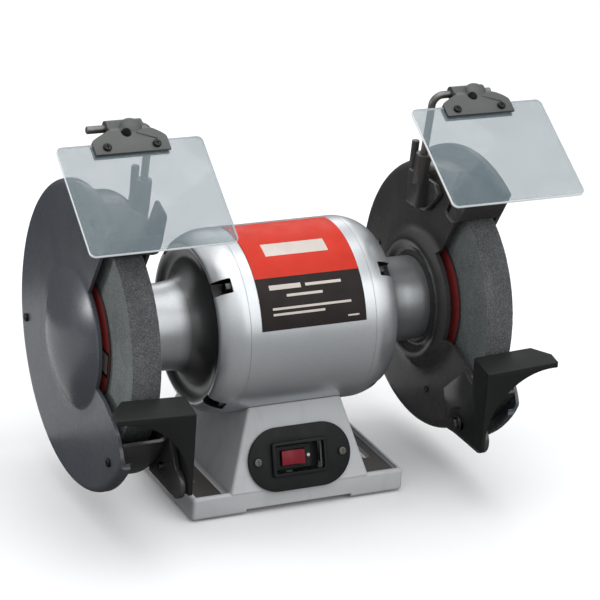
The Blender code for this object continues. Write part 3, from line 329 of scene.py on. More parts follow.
def bar(name, start, end, radius, segments=32, bevel=0.0, place=None, end_radius=None):
    """A round bar or cone between two points."""
    start, end = Vector(start), Vector(end)
    shape = bmesh.new()
    top = radius if end_radius is None else end_radius
    bmesh.ops.create_cone(shape, cap_ends=True, segments=segments, radius1=radius,
                          radius2=top, depth=(end - start).length)
    if bevel:
        round_edges(shape, bevel, 3, 45)
    turn = (end - start).to_track_quat("Z", "Y").to_matrix().to_4x4()
    matrix = Matrix.Translation((start + end) / 2) @ turn
    if place is not None:
        matrix = place @ matrix
    bmesh.ops.transform(shape, matrix=matrix, verts=shape.verts)
    return as_object(name, shape)


def evaluated_mesh(obj):
    graph = bpy.context.evaluated_depsgraph_get()
    return bpy.data.meshes.new_from_object(obj.evaluated_get(graph))


def combine(obj, others, operation):
    """Cut or add solids one after another, and use each of them up."""
    for other in others:
        modifier = obj.modifiers.new("combine", "BOOLEAN")
        modifier.operation = operation
        modifier.object = other
        mesh = evaluated_mesh(obj)
        obj.modifiers.clear()
        obj.data = mesh
        bpy.data.objects.remove(other, do_unlink=True)
    return obj


def cut(obj, *others):
    return combine(obj, others, "DIFFERENCE")


def join(obj, *others):
    return combine(obj, others, "UNION")


def gather(name, objects):
    """Put several solids in one piece without joining their surfaces."""
    shape = bmesh.new()
    for obj in objects:
        shape.from_mesh(obj.data)
        bpy.data.objects.remove(obj, do_unlink=True)
    return as_object(name, shape)


def piece(obj, body, material, nodes=()):
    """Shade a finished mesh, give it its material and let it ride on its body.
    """
    mesh = obj.data
    mesh.materials.clear()
    mesh.materials.append(MATERIALS[material])
    mesh.shade_smooth()
    mesh.set_sharp_from_angle(angle=math.radians(SHARP_ANGLE))
    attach(obj, body)
    if nodes:
        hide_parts(*nodes)
    return obj


def second_material(obj, material, belongs):
    """Give the faces that pass a test another material."""
    obj.data.materials.append(MATERIALS[material])
    for face in obj.data.polygons:
        if belongs(face):
            face.material_index = 1


# ---------------------------------------------------------------- material helpers
def new_material(name, roughness, metallic=0.0, **sockets):
    made = bpy.data.materials.new(name)
    made.use_nodes = True
    shader = made.node_tree.nodes["Principled BSDF"]
    shader.inputs["Roughness"].default_value = roughness
    shader.inputs["Metallic"].default_value = metallic
    for socket, value in sockets.items():
        shader.inputs[socket.replace("_", " ")].default_value = value
    return made, made.node_tree, shader


def add(tree, kind, **settings):
    node = tree.nodes.new("ShaderNode" + kind)
    for name, value in settings.items():
        setattr(node, name, value)
    return node


def placed(tree, stretch=(1, 1, 1)):
    """Object coordinates, stretched."""
    coordinates = add(tree, "TexCoord")
    mapping = add(tree, "Mapping")
    mapping.inputs["Scale"].default_value = stretch
    tree.links.new(coordinates.outputs["Object"], mapping.inputs["Vector"])
    return mapping.outputs["Vector"]


def grain(tree, scale, detail=4.0, stretch=(1, 1, 1), rough=0.55):
    node = add(tree, "TexNoise")
    node.inputs["Scale"].default_value = scale
    node.inputs["Detail"].default_value = detail
    node.inputs["Roughness"].default_value = rough
    tree.links.new(placed(tree, stretch), node.inputs["Vector"])
    return node.outputs["Fac"]


def cells(tree, scale):
    """Distance to the middle of the nearest of many small cells."""
    node = add(tree, "TexVoronoi", feature="F1")
    node.inputs["Scale"].default_value = scale
    tree.links.new(placed(tree), node.inputs["Vector"])
    return node.outputs["Distance"]


def grey(level):
    return (level, level, level)


def ramp(tree, source, stops):
    node = add(tree, "ValToRGB")
    elements = node.color_ramp.elements
    while len(elements) < len(stops):
        elements.new(0.5)
    for element, (position, colour) in zip(elements, stops):
        element.position = position
        element.color = (*colour, 1)
    tree.links.new(source, node.inputs["Fac"])
    return node.outputs["Color"]


def spread(tree, source, low, high, to_low, to_high):
    node = add(tree, "MapRange")
    for socket, value in zip(("From Min", "From Max", "To Min", "To Max"),
                             (low, high, to_low, to_high)):
        node.inputs[socket].default_value = value
    tree.links.new(source, node.inputs["Value"])
    return node.outputs["Result"]


def calculate(tree, operation, first, second=None):
    node = add(tree, "Math", operation=operation)
    for socket, value in zip(node.inputs, (first, second)):
        if isinstance(value, (int, float)):
            socket.default_value = value
        elif value is not None:
            tree.links.new(value, socket)
    return node.outputs["Value"]


def blended(tree, factor, first, second, blend="MIX"):
    node = add(tree, "Mix", data_type="RGBA", blend_type=blend)
    for socket, value in ((node.inputs[0], factor), (node.inputs[6], first),
                          (node.inputs[7], second)):
        if isinstance(value, tuple):
            socket.default_value = (*value, 1)
        elif isinstance(value, float):
            socket.default_value = value
        else:
            tree.links.new(value, socket)
    return node.outputs[2]


def relief(tree, height, distance, strength=1.0, normal=None):
    node = add(tree, "Bump")
    node.inputs["Strength"].default_value = strength
    node.inputs["Distance"].default_value = distance
    tree.links.new(height, node.inputs["Height"])
    if normal is not None:
        tree.links.new(normal, node.inputs["Normal"])
    return node.outputs["Normal"]


def soft_edge(tree, radius):
    """The normal with edges rounded over, and how strongly an edge is near."""
    bevel = add(tree, "Bevel", samples=4)
    bevel.inputs["Radius"].default_value = radius
    geometry = add(tree, "NewGeometry")
    product = add(tree, "VectorMath", operation="DOT_PRODUCT")
    tree.links.new(bevel.outputs["Normal"], product.inputs[0])
    tree.links.new(geometry.outputs["Normal"], product.inputs[1])
    near = spread(tree, product.outputs["Value"], 0.995, 0.80, 0.0, 1.0)
    return bevel.outputs["Normal"], near


def arbor_radius(tree):
    """Distance from the arbor's axis at each point of the surface."""
    coordinates = add(tree, "TexCoord")
    apart = add(tree, "SeparateXYZ")
    tree.links.new(coordinates.outputs["Object"], apart.inputs["Vector"])
    y = calculate(tree, "SUBTRACT", apart.outputs["Y"], ARBOR.y)
    z = calculate(tree, "SUBTRACT", apart.outputs["Z"], ARBOR.z)
    square = calculate(tree, "ADD", calculate(tree, "MULTIPLY", y, y),
                       calculate(tree, "MULTIPLY", z, z))
    return calculate(tree, "SQRT", square)


def link_all(tree, shader, colour=None, roughness=None, normal=None):
    for value, socket in ((colour, "Base Color"), (roughness, "Roughness"), (normal, "Normal")):
        if value is not None:
            tree.links.new(value, shader.inputs[socket])


# ---------------------------------------------------------------- materials
def paint(name, dark, light, worn, roughness, metallic=0.0, peel=(700, 0.00004), edge=0.0006,
          wear=0.5, **sockets):
    """Sprayed paint: drifting tone, orange peel, softened edges rubbed to a lighter tone."""
    made, tree, shader = new_material(name, roughness, metallic, **sockets)
    tone = ramp(tree, grain(tree, 9, 5), [(0.3, dark), (0.7, light)])
    normal, near = soft_edge(tree, edge)
    rubbed = calculate(tree, "MULTIPLY", near, spread(tree, grain(tree, 160, 6), 0.42, 0.62,
                                                      0.0, wear))
    colour = blended(tree, rubbed, tone, worn)
    gloss = spread(tree, grain(tree, 35, 6), 0.3, 0.7, roughness * 0.85, roughness * 1.18)
    link_all(tree, shader, colour, gloss,
             relief(tree, grain(tree, peel[0], 3), peel[1], 1.0, normal))
    return made


def silver_paint(name, dish_shade=False):
    """Silver lacquer with fine flakes; for the end bells it adds painted shade, near black in the
    dished annulus and lighter on the neck.
    """
    made, tree, shader = new_material(name, 0.34, 0.78)
    shader.inputs["Coat Weight"].default_value = 0.15
    shader.inputs["Coat Roughness"].default_value = 0.22
    tone = ramp(tree, grain(tree, 7, 5), [(0.3, (0.53, 0.555, 0.575)), (0.7, (0.61, 0.63, 0.645))])
    flakes = spread(tree, cells(tree, 2600), 0.0, 0.7, 0.82, 1.12)
    bright = add(tree, "VectorMath", operation="SCALE")
    tree.links.new(tone, bright.inputs[0])
    tree.links.new(flakes, bright.inputs["Scale"])
    normal, near = soft_edge(tree, 0.0007)
    rubbed = calculate(tree, "MULTIPLY", near, 0.25)
    colour = blended(tree, rubbed, bright.outputs["Vector"], (0.72, 0.73, 0.74))
    if dish_shade:
        # Painted shade: the colour turns near black in the dished annulus, and a lighter painted shade
        # covers the neck.
        radius = arbor_radius(tree)
        inside = spread(tree, radius, *DISH_SHADE_RIM, 0.0, 0.84)
        outside = spread(tree, radius, *DISH_SHADE_FOOT, 0.36, 1.0)
        shade = calculate(tree, "MULTIPLY", inside, outside)
        colour = blended(tree, shade, colour, (0.035, 0.033, 0.030))
    gloss = spread(tree, grain(tree, 40, 6), 0.3, 0.7, 0.29, 0.39)
    link_all(tree, shader, colour, gloss,
             relief(tree, grain(tree, 900, 3), 0.00003, 1.0, normal))
    return made


def base_paint():
    """Light grey powder coat over a casting: fine stipple and faint handling marks."""
    made, tree, shader = new_material("base_paint", 0.46)
    tone = ramp(tree, grain(tree, 8, 6), [(0.3, (0.49, 0.51, 0.52)), (0.7, (0.56, 0.575, 0.585))])
    marks = ramp(tree, grain(tree, 70, 8, (1, 1, 0.25)), [(0.52, (1, 1, 1)), (0.78, grey(0.86))])
    normal, near = soft_edge(tree, 0.0010)
    colour = blended(tree, 1.0, tone, marks, "MULTIPLY")
    colour = blended(tree, calculate(tree, "MULTIPLY", near, 0.3), colour, (0.70, 0.71, 0.72))
    stipple = relief(tree, grain(tree, 1100, 4), 0.00010, 0.8, normal)
    casting = relief(tree, grain(tree, 60, 3), 0.0003, 0.5, stipple)
    link_all(tree, shader, colour, spread(tree, grain(tree, 90, 5), 0.3, 0.7, 0.40, 0.54), casting)
    return made


def abrasive(name, dark, light, specks):
    """Bonded grit: pale and dark grains, pores, and rings left by dressing."""
    made, tree, shader = new_material(name, 0.93)
    shader.inputs["Specular IOR Level"].default_value = 0.25
    body = ramp(tree, grain(tree, 30, 8, rough=0.7), [(0.3, dark), (0.7, light)])
    grit = add(tree, "TexVoronoi")
    grit.inputs["Scale"].default_value = 1500
    tree.links.new(placed(tree), grit.inputs["Vector"])
    apart = add(tree, "SeparateColor")
    tree.links.new(grit.outputs["Color"], apart.inputs["Color"])
    grains = ramp(tree, apart.outputs["Red"], [(0.0, grey(0.62)), (0.55, grey(0.95)),
                                               (1.0, specks)])
    colour = blended(tree, 1.0, body, grains, "MULTIPLY")
    rings = add(tree, "TexNoise", noise_dimensions="1D")
    rings.inputs["Scale"].default_value = 900
    tree.links.new(arbor_radius(tree), rings.inputs["W"])
    streak = ramp(tree, rings.outputs["Fac"], [(0.35, grey(0.88)), (0.65, grey(1.06))])
    colour = blended(tree, 0.8, colour, streak, "MULTIPLY")
    pores = relief(tree, grit.outputs["Distance"], 0.0004, 0.9)
    link_all(tree, shader, colour, None, relief(tree, grain(tree, 420, 6), 0.0004, 0.8, pores))
    return made


def blotter_paper():
    """Red pressed paper: fibres, a printed darker border and a scuffed middle."""
    made, tree, shader = new_material("blotter_paper", 0.8)
    fibres = ramp(tree, grain(tree, 520, 8, rough=0.75), [(0.3, (0.36, 0.030, 0.030)),
                                                          (0.7, (0.52, 0.055, 0.050))])
    radius = arbor_radius(tree)
    border = spread(tree, radius, BLOTTER_RADIUS - 0.0032, BLOTTER_RADIUS - 0.0026, 0.0, 1.0)
    colour = blended(tree, border, fibres, (0.055, 0.040, 0.042))
    middle = spread(tree, radius, FLANGE_RADIUS + 0.005, FLANGE_RADIUS + 0.0045, 0.0, 0.7)
    colour = blended(tree, middle, colour, (0.12, 0.03, 0.03))
    link_all(tree, shader, colour, None, relief(tree, grain(tree, 700, 8), 0.0001, 0.7))
    return made


def clear_plastic(name, colour, alpha, roughness, edge_glow=0.0):
    """Polycarbonate: a pale veil with wiping marks; an emission strength makes it glow as painted
    light, as on the cut edges.
    """
    made, tree, shader = new_material(name, roughness)
    # Emission is painted light: the plastic glows though it is no lamp.
    shader.inputs["Emission Color"].default_value = (0.90, 0.96, 1.0, 1)
    shader.inputs["Emission Strength"].default_value = edge_glow
    shader.inputs["IOR"].default_value = 1.50
    shader.inputs["Coat Weight"].default_value = 0.35
    shader.inputs["Coat Roughness"].default_value = 0.05
    tone = ramp(tree, grain(tree, 14, 5), [(0.3, tuple(0.94 * c for c in colour)), (0.7, colour)])
    wiped = grain(tree, 60, 7, (1, 0.15, 0.15))
    link_all(tree, shader, tone, spread(tree, wiped, 0.35, 0.75, roughness, roughness * 2.2),
             relief(tree, grain(tree, 25, 2), 0.00012, 0.4))
    tree.links.new(spread(tree, grain(tree, 22, 6), 0.3, 0.7, alpha * 0.94, alpha * 1.06),
                   shader.inputs["Alpha"])
    return made


def plastic(name, dark, light, roughness, stipple=0.00006):
    """Moulded plastic with a spark-eroded texture."""
    made, tree, shader = new_material(name, roughness, Specular_IOR_Level=0.25)
    tone = ramp(tree, grain(tree, 40, 5), [(0.3, dark), (0.7, light)])
    normal, near = soft_edge(tree, 0.0005)
    colour = blended(tree, calculate(tree, "MULTIPLY", near, 0.35), tone,
                     tuple(min(1.0, 2.0 * c + 0.02) for c in light))
    link_all(tree, shader, colour,
             spread(tree, grain(tree, 120, 5), 0.3, 0.7, roughness * 0.85, roughness * 1.2),
             relief(tree, cells(tree, 1700), stipple, 0.7, normal))
    return made


def rubber():
    """Black rubber with a dusty, uneven tone."""
    made, tree, shader = new_material("black_rubber", 0.82)
    shader.inputs["Sheen Weight"].default_value = 0.15
    tone = ramp(tree, grain(tree, 160, 6), [(0.35, (0.014, 0.014, 0.015)),
                                            (0.75, (0.045, 0.044, 0.043))])
    link_all(tree, shader, tone, spread(tree, grain(tree, 90, 4), 0.3, 0.7, 0.72, 0.92),
             relief(tree, grain(tree, 900, 4), 0.0001, 0.8))
    return made


def steel(name, dark, light, roughness, stretch=(1, 12, 12), scale=260, wear=0.4):
    """Bare or plated steel with turning or drawing marks and softened edges."""
    made, tree, shader = new_material(name, roughness, 1.0)
    tone = ramp(tree, grain(tree, 55, 6), [(0.3, dark), (0.7, light)])
    lines = grain(tree, scale, 5, stretch)
    normal, near = soft_edge(tree, 0.0004)
    colour = blended(tree, calculate(tree, "MULTIPLY", near, wear), tone, (0.86, 0.86, 0.85))
    link_all(tree, shader, colour,
             spread(tree, lines, 0.3, 0.7, roughness * 0.8, roughness * 1.3),
             relief(tree, lines, 0.00004, 0.6, normal))
    return made


def laminations():
    """Stacked electrical sheets, seen edge on, lightly rusted and varnished."""
    made, tree, shader = new_material("laminated_steel", 0.45, 0.85)
    waves = add(tree, "TexWave", bands_direction="X")
    waves.inputs["Scale"].default_value = 310
    waves.inputs["Distortion"].default_value = 0.4
    tree.links.new(placed(tree), waves.inputs["Vector"])
    tone = ramp(tree, grain(tree, 60, 6), [(0.35, (0.20, 0.17, 0.15)), (0.7, (0.36, 0.35, 0.35))])
    seams = ramp(tree, waves.outputs["Fac"], [(0.1, grey(0.45)), (0.5, (1, 1, 1))])
    link_all(tree, shader, blended(tree, 1.0, tone, seams, "MULTIPLY"), None,
             relief(tree, waves.outputs["Fac"], 0.0002, 0.9))
    return made


def copper_wire():
    """Varnished windings: strands that run round the coil."""
    made, tree, shader = new_material("copper_wire", 0.3, 0.9)
    shader.inputs["Coat Weight"].default_value = 0.5
    strands = add(tree, "TexNoise", noise_dimensions="1D")
    strands.inputs["Scale"].default_value = 1400
    tree.links.new(arbor_radius(tree), strands.inputs["W"])
    tone = ramp(tree, strands.outputs["Fac"], [(0.3, (0.30, 0.10, 0.04)), (0.7, (0.72, 0.30, 0.13))])
    link_all(tree, shader, tone, None, relief(tree, strands.outputs["Fac"], 0.0004, 1.0))
    return made


def printed(name, colour, roughness=0.5):
    """Printed foil: even ink with a faint screen grain and rubbed spots."""
    made, tree, shader = new_material(name, roughness)
    shader.inputs["Specular IOR Level"].default_value = 0.22
    darker = tuple(0.86 * c for c in colour)
    tone = ramp(tree, grain(tree, 45, 6), [(0.3, darker), (0.7, colour)])
    dots = ramp(tree, cells(tree, 3200), [(0.0, grey(0.94)), (0.6, (1, 1, 1))])
    link_all(tree, shader, blended(tree, 1.0, tone, dots, "MULTIPLY"),
             spread(tree, grain(tree, 60, 6), 0.3, 0.7, roughness * 0.85, roughness * 1.25),
             relief(tree, grain(tree, 500, 3), 0.00003, 0.6))
    return made


MATERIALS = {
    "silver_paint": silver_paint("silver_paint"),
    # The end bells' silver paint, with painted shade in the dished annulus and on the neck.
    "bell_paint_dish_shade": silver_paint("bell_paint_dish_shade", True),
    "base_paint": base_paint(),
    # Painted shade for the sunk tray floors: a dark grey-brown paint.
    "tray_painted_shade": paint("tray_painted_shade", (0.060, 0.056, 0.052), (0.110, 0.104, 0.098),
                       (0.20, 0.19, 0.18), 0.72, 0.0, (420, 0.00010), 0.0008, 0.4,
                       Specular_IOR_Level=0.25),
    "cover_paint": paint("cover_paint", (0.074, 0.082, 0.096), (0.094, 0.102, 0.116),
                         (0.22, 0.23, 0.24), 0.27, 0.10, (500, 0.00002)),
    "guard_paint": paint("guard_paint", (0.042, 0.041, 0.041), (0.056, 0.054, 0.052),
                         (0.16, 0.155, 0.15), 0.26, 0.1, (380, 0.000014)),
    "rest_casting": paint("rest_casting", (0.008, 0.009, 0.009), (0.015, 0.016, 0.016),
                          (0.06, 0.065, 0.065), 0.50, 0.0, (520, 0.00012), 0.0009, 0.6,
                          Specular_IOR_Level=0.22),
    "clamp_paint": paint("clamp_paint", (0.050, 0.054, 0.052), (0.085, 0.089, 0.085),
                         (0.24, 0.24, 0.23), 0.44, 0.1, (600, 0.00008), 0.0006, 0.6),
    "abrasive": abrasive("abrasive", (0.165, 0.185, 0.185), (0.25, 0.275, 0.275),
                         (1.25, 1.25, 1.2)),
    "abrasive_rim": abrasive("abrasive_rim", (0.085, 0.090, 0.094), (0.145, 0.152, 0.156),
                             (1.5, 1.5, 1.45)),
    "blotter_paper": blotter_paper(),
    "clear_plastic": clear_plastic("clear_plastic", (0.165, 0.225, 0.250), 0.44, 0.07),
    # Painted light: the shields' cut edges are near white and glow by emission.
    "clear_edge_glow": clear_plastic("clear_edge_glow", (0.92, 0.96, 0.97), 0.92, 0.16, 0.28),
    "black_plastic": plastic("black_plastic", (0.005, 0.006, 0.006), (0.010, 0.011, 0.011), 0.46),
    "red_plastic": plastic("red_plastic", (0.19, 0.012, 0.022), (0.27, 0.020, 0.034), 0.30, 0.00002),
    "black_rubber": rubber(),
    "zinc_steel": steel("zinc_steel", (0.44, 0.44, 0.43), (0.60, 0.60, 0.58), 0.34),
    "dark_steel": steel("dark_steel", (0.055, 0.055, 0.058), grey(0.10), 0.36, wear=0.15),
    "ground_steel": steel("ground_steel", (0.56, 0.56, 0.57), (0.70, 0.70, 0.71), 0.20,
                          (12, 1, 1), 700),
    "laminated_steel": laminations(),
    "copper_wire": copper_wire(),
    # Black oxide for the screws; the same material is painted shade inside the end bells' bolt
    # pockets.
    "black_oxide_and_pocket_shade": steel("black_oxide_and_pocket_shade", (0.020, 0.020, 0.021), (0.045, 0.045, 0.046), 0.42, wear=0.1),
    "dull_steel": steel("dull_steel", (0.12, 0.113, 0.10), (0.20, 0.19, 0.17), 0.48, wear=0.15),
    "rod_steel": steel("rod_steel", (0.15, 0.145, 0.14), (0.23, 0.225, 0.215), 0.42,
                       (1, 1, 14), 300),
    "capacitor_case": steel("capacitor_case", (0.50, 0.51, 0.53), (0.62, 0.63, 0.65), 0.30),
    "label_red": printed("label_red", (0.62, 0.030, 0.012)),
    "label_black": printed("label_black", (0.015, 0.010, 0.009)),
    "label_pale": printed("label_pale", (0.66, 0.60, 0.55)),
}


# ---------------------------------------------------------------- base
def pedestal_wall(height, inset):
    rise = height - FLANGE_TOP
    half = PEDESTAL_HALF_WIDTH - PEDESTAL_SLOPE_X * rise - inset
    front = BASE_LOW.y + PEDESTAL_SLOPE_Y * rise + inset
    back = BASE_HIGH.y - PEDESTAL_SLOPE_Y * rise - inset
    return half, front, back


def frustum(name, bottom, top, inset, corner):
    """The pedestal's tapering block, with its upright corners rounded."""
    shape = bmesh.new()
    levels = []
    for height in (bottom, top):
        half, front, back = pedestal_wall(height, inset)
        centre = (0, (front + back) / 2)
        outline = rounded_rectangle(2 * half, back - front, corner, centre, 5)
        levels.append([shape.verts.new((x, y, height)) for x, y in outline])
    low, high = levels
    shape.faces.new(low)
    shape.faces.new(high)
    for i in range(len(low)):
        after = (i + 1) % len(low)
        shape.faces.new((low[i], low[after], high[after], high[i]))
    bmesh.ops.recalc_face_normals(shape, faces=shape.faces)
    return as_object(name, shape)


def motor_bar(radius):
    return bar("motor_bar", ARBOR - Vector((0.12, 0, 0)), ARBOR + Vector((0.12, 0, 0)), radius, 144)


def base_block(inset, bottom, top, bevel=0.0):
    return block("base_block", (BASE_LOW.x + inset, BASE_LOW.y + inset, bottom),
                 (BASE_HIGH.x - inset, BASE_HIGH.y - inset, top), bevel, 4)


def tray(side):
    """The sunk floor of a side flange; its inner wall flares into the pedestal."""
    outer = BASE_HIGH.x - TRAY_LIP
    top = FLANGE_TOP + 0.0005
    flare = [(PEDESTAL_HALF_WIDTH + 0.0037, TRAY_FLOOR), (PEDESTAL_HALF_WIDTH + 0.0017, 0.0174),
             (PEDESTAL_HALF_WIDTH + 0.0004, 0.0196), (PEDESTAL_HALF_WIDTH - 0.0002, top)]
    section = [(side * x, z) for x, z in flare + [(outer, top), (outer, TRAY_FLOOR)]]
    return prism("tray", section, BASE_LOW.y + TRAY_LIP, BASE_HIGH.y - TRAY_LIP, "xz", 0.0009, 3)


def corner_places():
    left, right = BASE_LOW.x + CORNER_INSET, BASE_HIGH.x - CORNER_INSET
    front, back = BASE_LOW.y + CORNER_INSET, BASE_HIGH.y - CORNER_INSET
    return {"front_left": (left, front), "front_right": (right, front),
            "back_left": (left, back), "back_right": (right, back)}


def make_base():
    base = base_block(0, BASE_LOW.z, FLANGE_TOP, 0.003)
    half, front, back = pedestal_wall(FLANGE_TOP, 0.0001)
    foot = rounded_rectangle(2 * half, back - front, 0.0024, (0, (front + back) / 2))
    join(base, frustum("pedestal", FLANGE_TOP - 0.0006, PEDESTAL_TOP, 0, 0.0024),
         prism("pedestal_foot", foot, FLANGE_TOP - 0.0036, FLANGE_TOP - 0.0001))
    cut(base, tray(-1), tray(1), motor_bar(SHELL_RADIUS + GAP))
    ceiling = TRAY_FLOOR - BASE_WALL
    hollow = frustum("hollow", ceiling - 0.0005, PEDESTAL_TOP - 0.002, BASE_WALL, 0.003)
    cut(hollow, motor_bar(SHELL_RADIUS + BASE_WALL))
    cut(base, base_block(BASE_WALL, 0, ceiling), hollow)
    reach_x = BASE_HIGH.x - PAD_LENGTH
    reach_y = PAD_LENGTH * 0.75
    top = BASE_LOW.z + PAD_RAISE
    cut(base, block("raise", (-reach_x, BASE_LOW.y - 0.01, 0), (reach_x, BASE_HIGH.y + 0.01, top)),
        block("raise", (-0.12, BASE_LOW.y + reach_y, 0), (0.12, BASE_HIGH.y - reach_y, top)))
    for x, y in corner_places().values():
        join(base, bar("pad", (x, y, 0.005), (x, y, TRAY_FLOOR - 0.001), PAD_RADIUS, 40))
    open_walls(base)
    base.name = "base_shell"
    piece(base, "frame", "base_paint", ["base_casting"])
    darken_trays(base)


def darken_trays(base):
    """The sunk tray floors get a dark material as painted shade."""

    def on_floor(face):
        return (abs(face.center.x) > PEDESTAL_HALF_WIDTH + 0.002 and face.normal.z > 0.5
                and abs(face.center.z - TRAY_FLOOR) < 0.0006)

    second_material(base, "tray_painted_shade", on_floor)


def open_walls(base):
    cut(base, block("window", (-0.0235, -0.013, -0.02), (0.0215, 0.013, 0.02), place=SWITCH_PLACE),
        bar("cord_hole", (0, 0, -0.02), (0, 0, 0.02), INLET_HOLE_RADIUS, 40, place=INLET_PLACE))
    for side in SIDES.values():
        for y in BENCH_SLOT_Y:
            points = rounded_rectangle(*BENCH_SLOT, 0.0042, (side * BENCH_SLOT_X, ARBOR.y + y))
            cut(base, prism("bench_slot", points, 0.01, 0.03))


def feet_profile():
    low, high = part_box("rubber_foot_front_left")
    radius = (high.x - low.x) / 2
    return [(0, 0), (radius - 0.0022, 0), (radius - 0.0012, 0.0006), (radius - 0.0010, 0.0018),
            (radius - 0.0002, high.z - 0.0008), (radius - 0.0006, high.z), (0, high.z)]


def make_feet():
    """Turned rubber feet that widen upwards, with a well for the fixing screw."""
    for where, (x, y) in corner_places().items():
        shape = bmesh.new()
        segments = 64
        rings = [[shape.verts.new((x + r * math.cos(math.tau * i / segments),
                                   y + r * math.sin(math.tau * i / segments), z))
                  for r, z in feet_profile()] for i in range(segments)]
        for here, there in zip(rings, rings[1:] + rings[:1]):
            for k in range(len(here) - 1):
                shape.faces.new((here[k], there[k], there[k + 1], here[k + 1]))
        bmesh.ops.remove_doubles(shape, verts=shape.verts, dist=0.0000005)
        bmesh.ops.recalc_face_normals(shape, faces=shape.faces)
        foot = as_object("foot_" + where, shape)
        cut(foot, bar("screw_well", (x, y, -0.001), (x, y, 0.002), 0.0034, 32))
        piece(foot, "frame", "black_rubber", ["rubber_foot_" + where])


def make_base_screws():
    """Screws that hold the bottom plate, seen from underneath."""
    low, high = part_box("base_bottom_plate")
    heads = []
    for x in (low.x + 0.006, high.x - 0.006):
        for y in (low.y + 0.006, high.y - 0.006):
            head = bar("head", (x, y, low.z - 0.0016), (x, y, low.z), 0.0026, 28, 0.0006)
            cut(head, block("slot", (x - 0.003, y - 0.0004, low.z - 0.002),
                            (x + 0.003, y + 0.0004, low.z - 0.0009)))
            heads.append(head)
    piece(gather("bottom_plate_screws", heads), "frame", "zinc_steel")


# ---------------------------------------------------------------- switch and cord inlet
def wall_place(up, wall):
    """Axes on the front (-1) or back (1) wall: X across, Y up the slope, Z off the wall."""
    y = (BASE_LOW.y if wall < 0 else BASE_HIGH.y) - wall * up * math.sin(WALL_LEAN)
    turn = Matrix.Rotation(math.pi / 2 - WALL_LEAN, 4, "X")
    if wall > 0:
        turn = Matrix.Rotation(math.pi, 4, "Z") @ turn
    return Matrix.Translation((0, y, FLANGE_TOP + up * math.cos(WALL_LEAN))) @ turn


SWITCH_PLACE = wall_place(SWITCH_UP_SLOPE, -1)
INLET_PLACE = wall_place(INLET_UP_SLOPE, 1)


def make_switch_plate():
    low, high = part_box("switch_plate")
    length, height = high.x - low.x, SWITCH_PLATE_HEIGHT
    half = (length - height) / 2
    points = arc((half, 0), height / 2, -90, 90, 28) + arc((-half, 0), height / 2, 90, 270, 28)
    plate = prism("switch_fascia", points, 0.0003, 0.0028, "xy", 0.0006, 3, SWITCH_PLACE)
    collar = rounded_rectangle(0.050, 0.0290, 0.003, (SWITCH_SHIFT, 0))
    join(plate, prism("collar", collar, 0.0013, 0.0057, "xy", 0.0008, 3, SWITCH_PLACE))
    opening = rounded_rectangle(0.0440, 0.0235, 0.0014, (SWITCH_SHIFT, 0))
    cut(plate, prism("opening", opening, -0.01, 0.02, "xy", 0, 1, SWITCH_PLACE))
    piece(plate, "frame", "black_plastic", ["switch_plate"])


def make_switch_screws():
    for name, side in SIDES.items():
        x = side * SWITCH_SCREW_X
        screw = bar("switch_fixing_" + name, (x, 0, 0.0031), (x, 0, 0.0048), 0.0034, 40, 0.0008,
                    SWITCH_PLACE)
        for width, length in ((0.0004, 0.0022), (0.0022, 0.0004)):
            cross = block("cross", (x - width, -length, 0.0039), (x + width, length, 0.006),
                          place=SWITCH_PLACE)
            cut(screw, cross)
        piece(screw, "frame", "dull_steel", ["switch_screw_" + name])


def make_switch_housing():
    centre = (SWITCH_SHIFT, 0)
    housing = prism("switch_body", rounded_rectangle(0.043, 0.0226, 0.001, centre), -0.024,
                    -0.006, "xy", 0.0004, 2, SWITCH_PLACE)
    bezel = rounded_rectangle(0.0340, 0.0200, 0.002, (ROCKER_X, 0))
    join(housing, prism("bezel", bezel, -0.0095, -0.0015, "xy", 0.0006, 3, SWITCH_PLACE))
    well = rounded_rectangle(0.0222, 0.0128, 0.0006, (ROCKER_X, 0))
    cut(housing, prism("well", well, -0.016, 0.01, "xy", 0, 1, SWITCH_PLACE))
    piece(housing, "frame", "black_plastic", ["switch_housing"])


def make_rocker():
    """The key, a shallow V, and the pale dot beside it."""
    half = ROCKER_HALF
    key_place = SWITCH_PLACE @ Matrix.Translation((ROCKER_X, 0, ROCKER_PIVOT)) @ \
        Matrix.Rotation(math.radians(ROCKER_TILT), 4, "Y")
    top = flowing([(-half + 0.0006, 0.0068), (-half * 0.5, 0.0052), (0, 0.0043),
                   (half * 0.5, 0.0052), (half - 0.0006, 0.0068)], 6)
    points = [(-half, 0.0060)] + top + [(half, 0.0060), (half - 0.0012, -0.001),
                                        (half * 0.4, -0.0045), (-half * 0.4, -0.0045),
                                        (-half + 0.0012, -0.001)]
    rocker = prism("rocker_key", points, -ROCKER_WIDTH / 2, ROCKER_WIDTH / 2, "xz", 0.0004, 2,
                   key_place)
    piece(rocker, "rocker", "red_plastic", ["rocker"])
    dot = prism("rocker_dot", arc((0, 0), 0.0014, 0, 345, 23), 0, 0.0003, "xy", 0, 1,
                SWITCH_PLACE @ Matrix.Translation((0.0096, 0, -0.00155)))
    piece(dot, "frame", "label_pale")


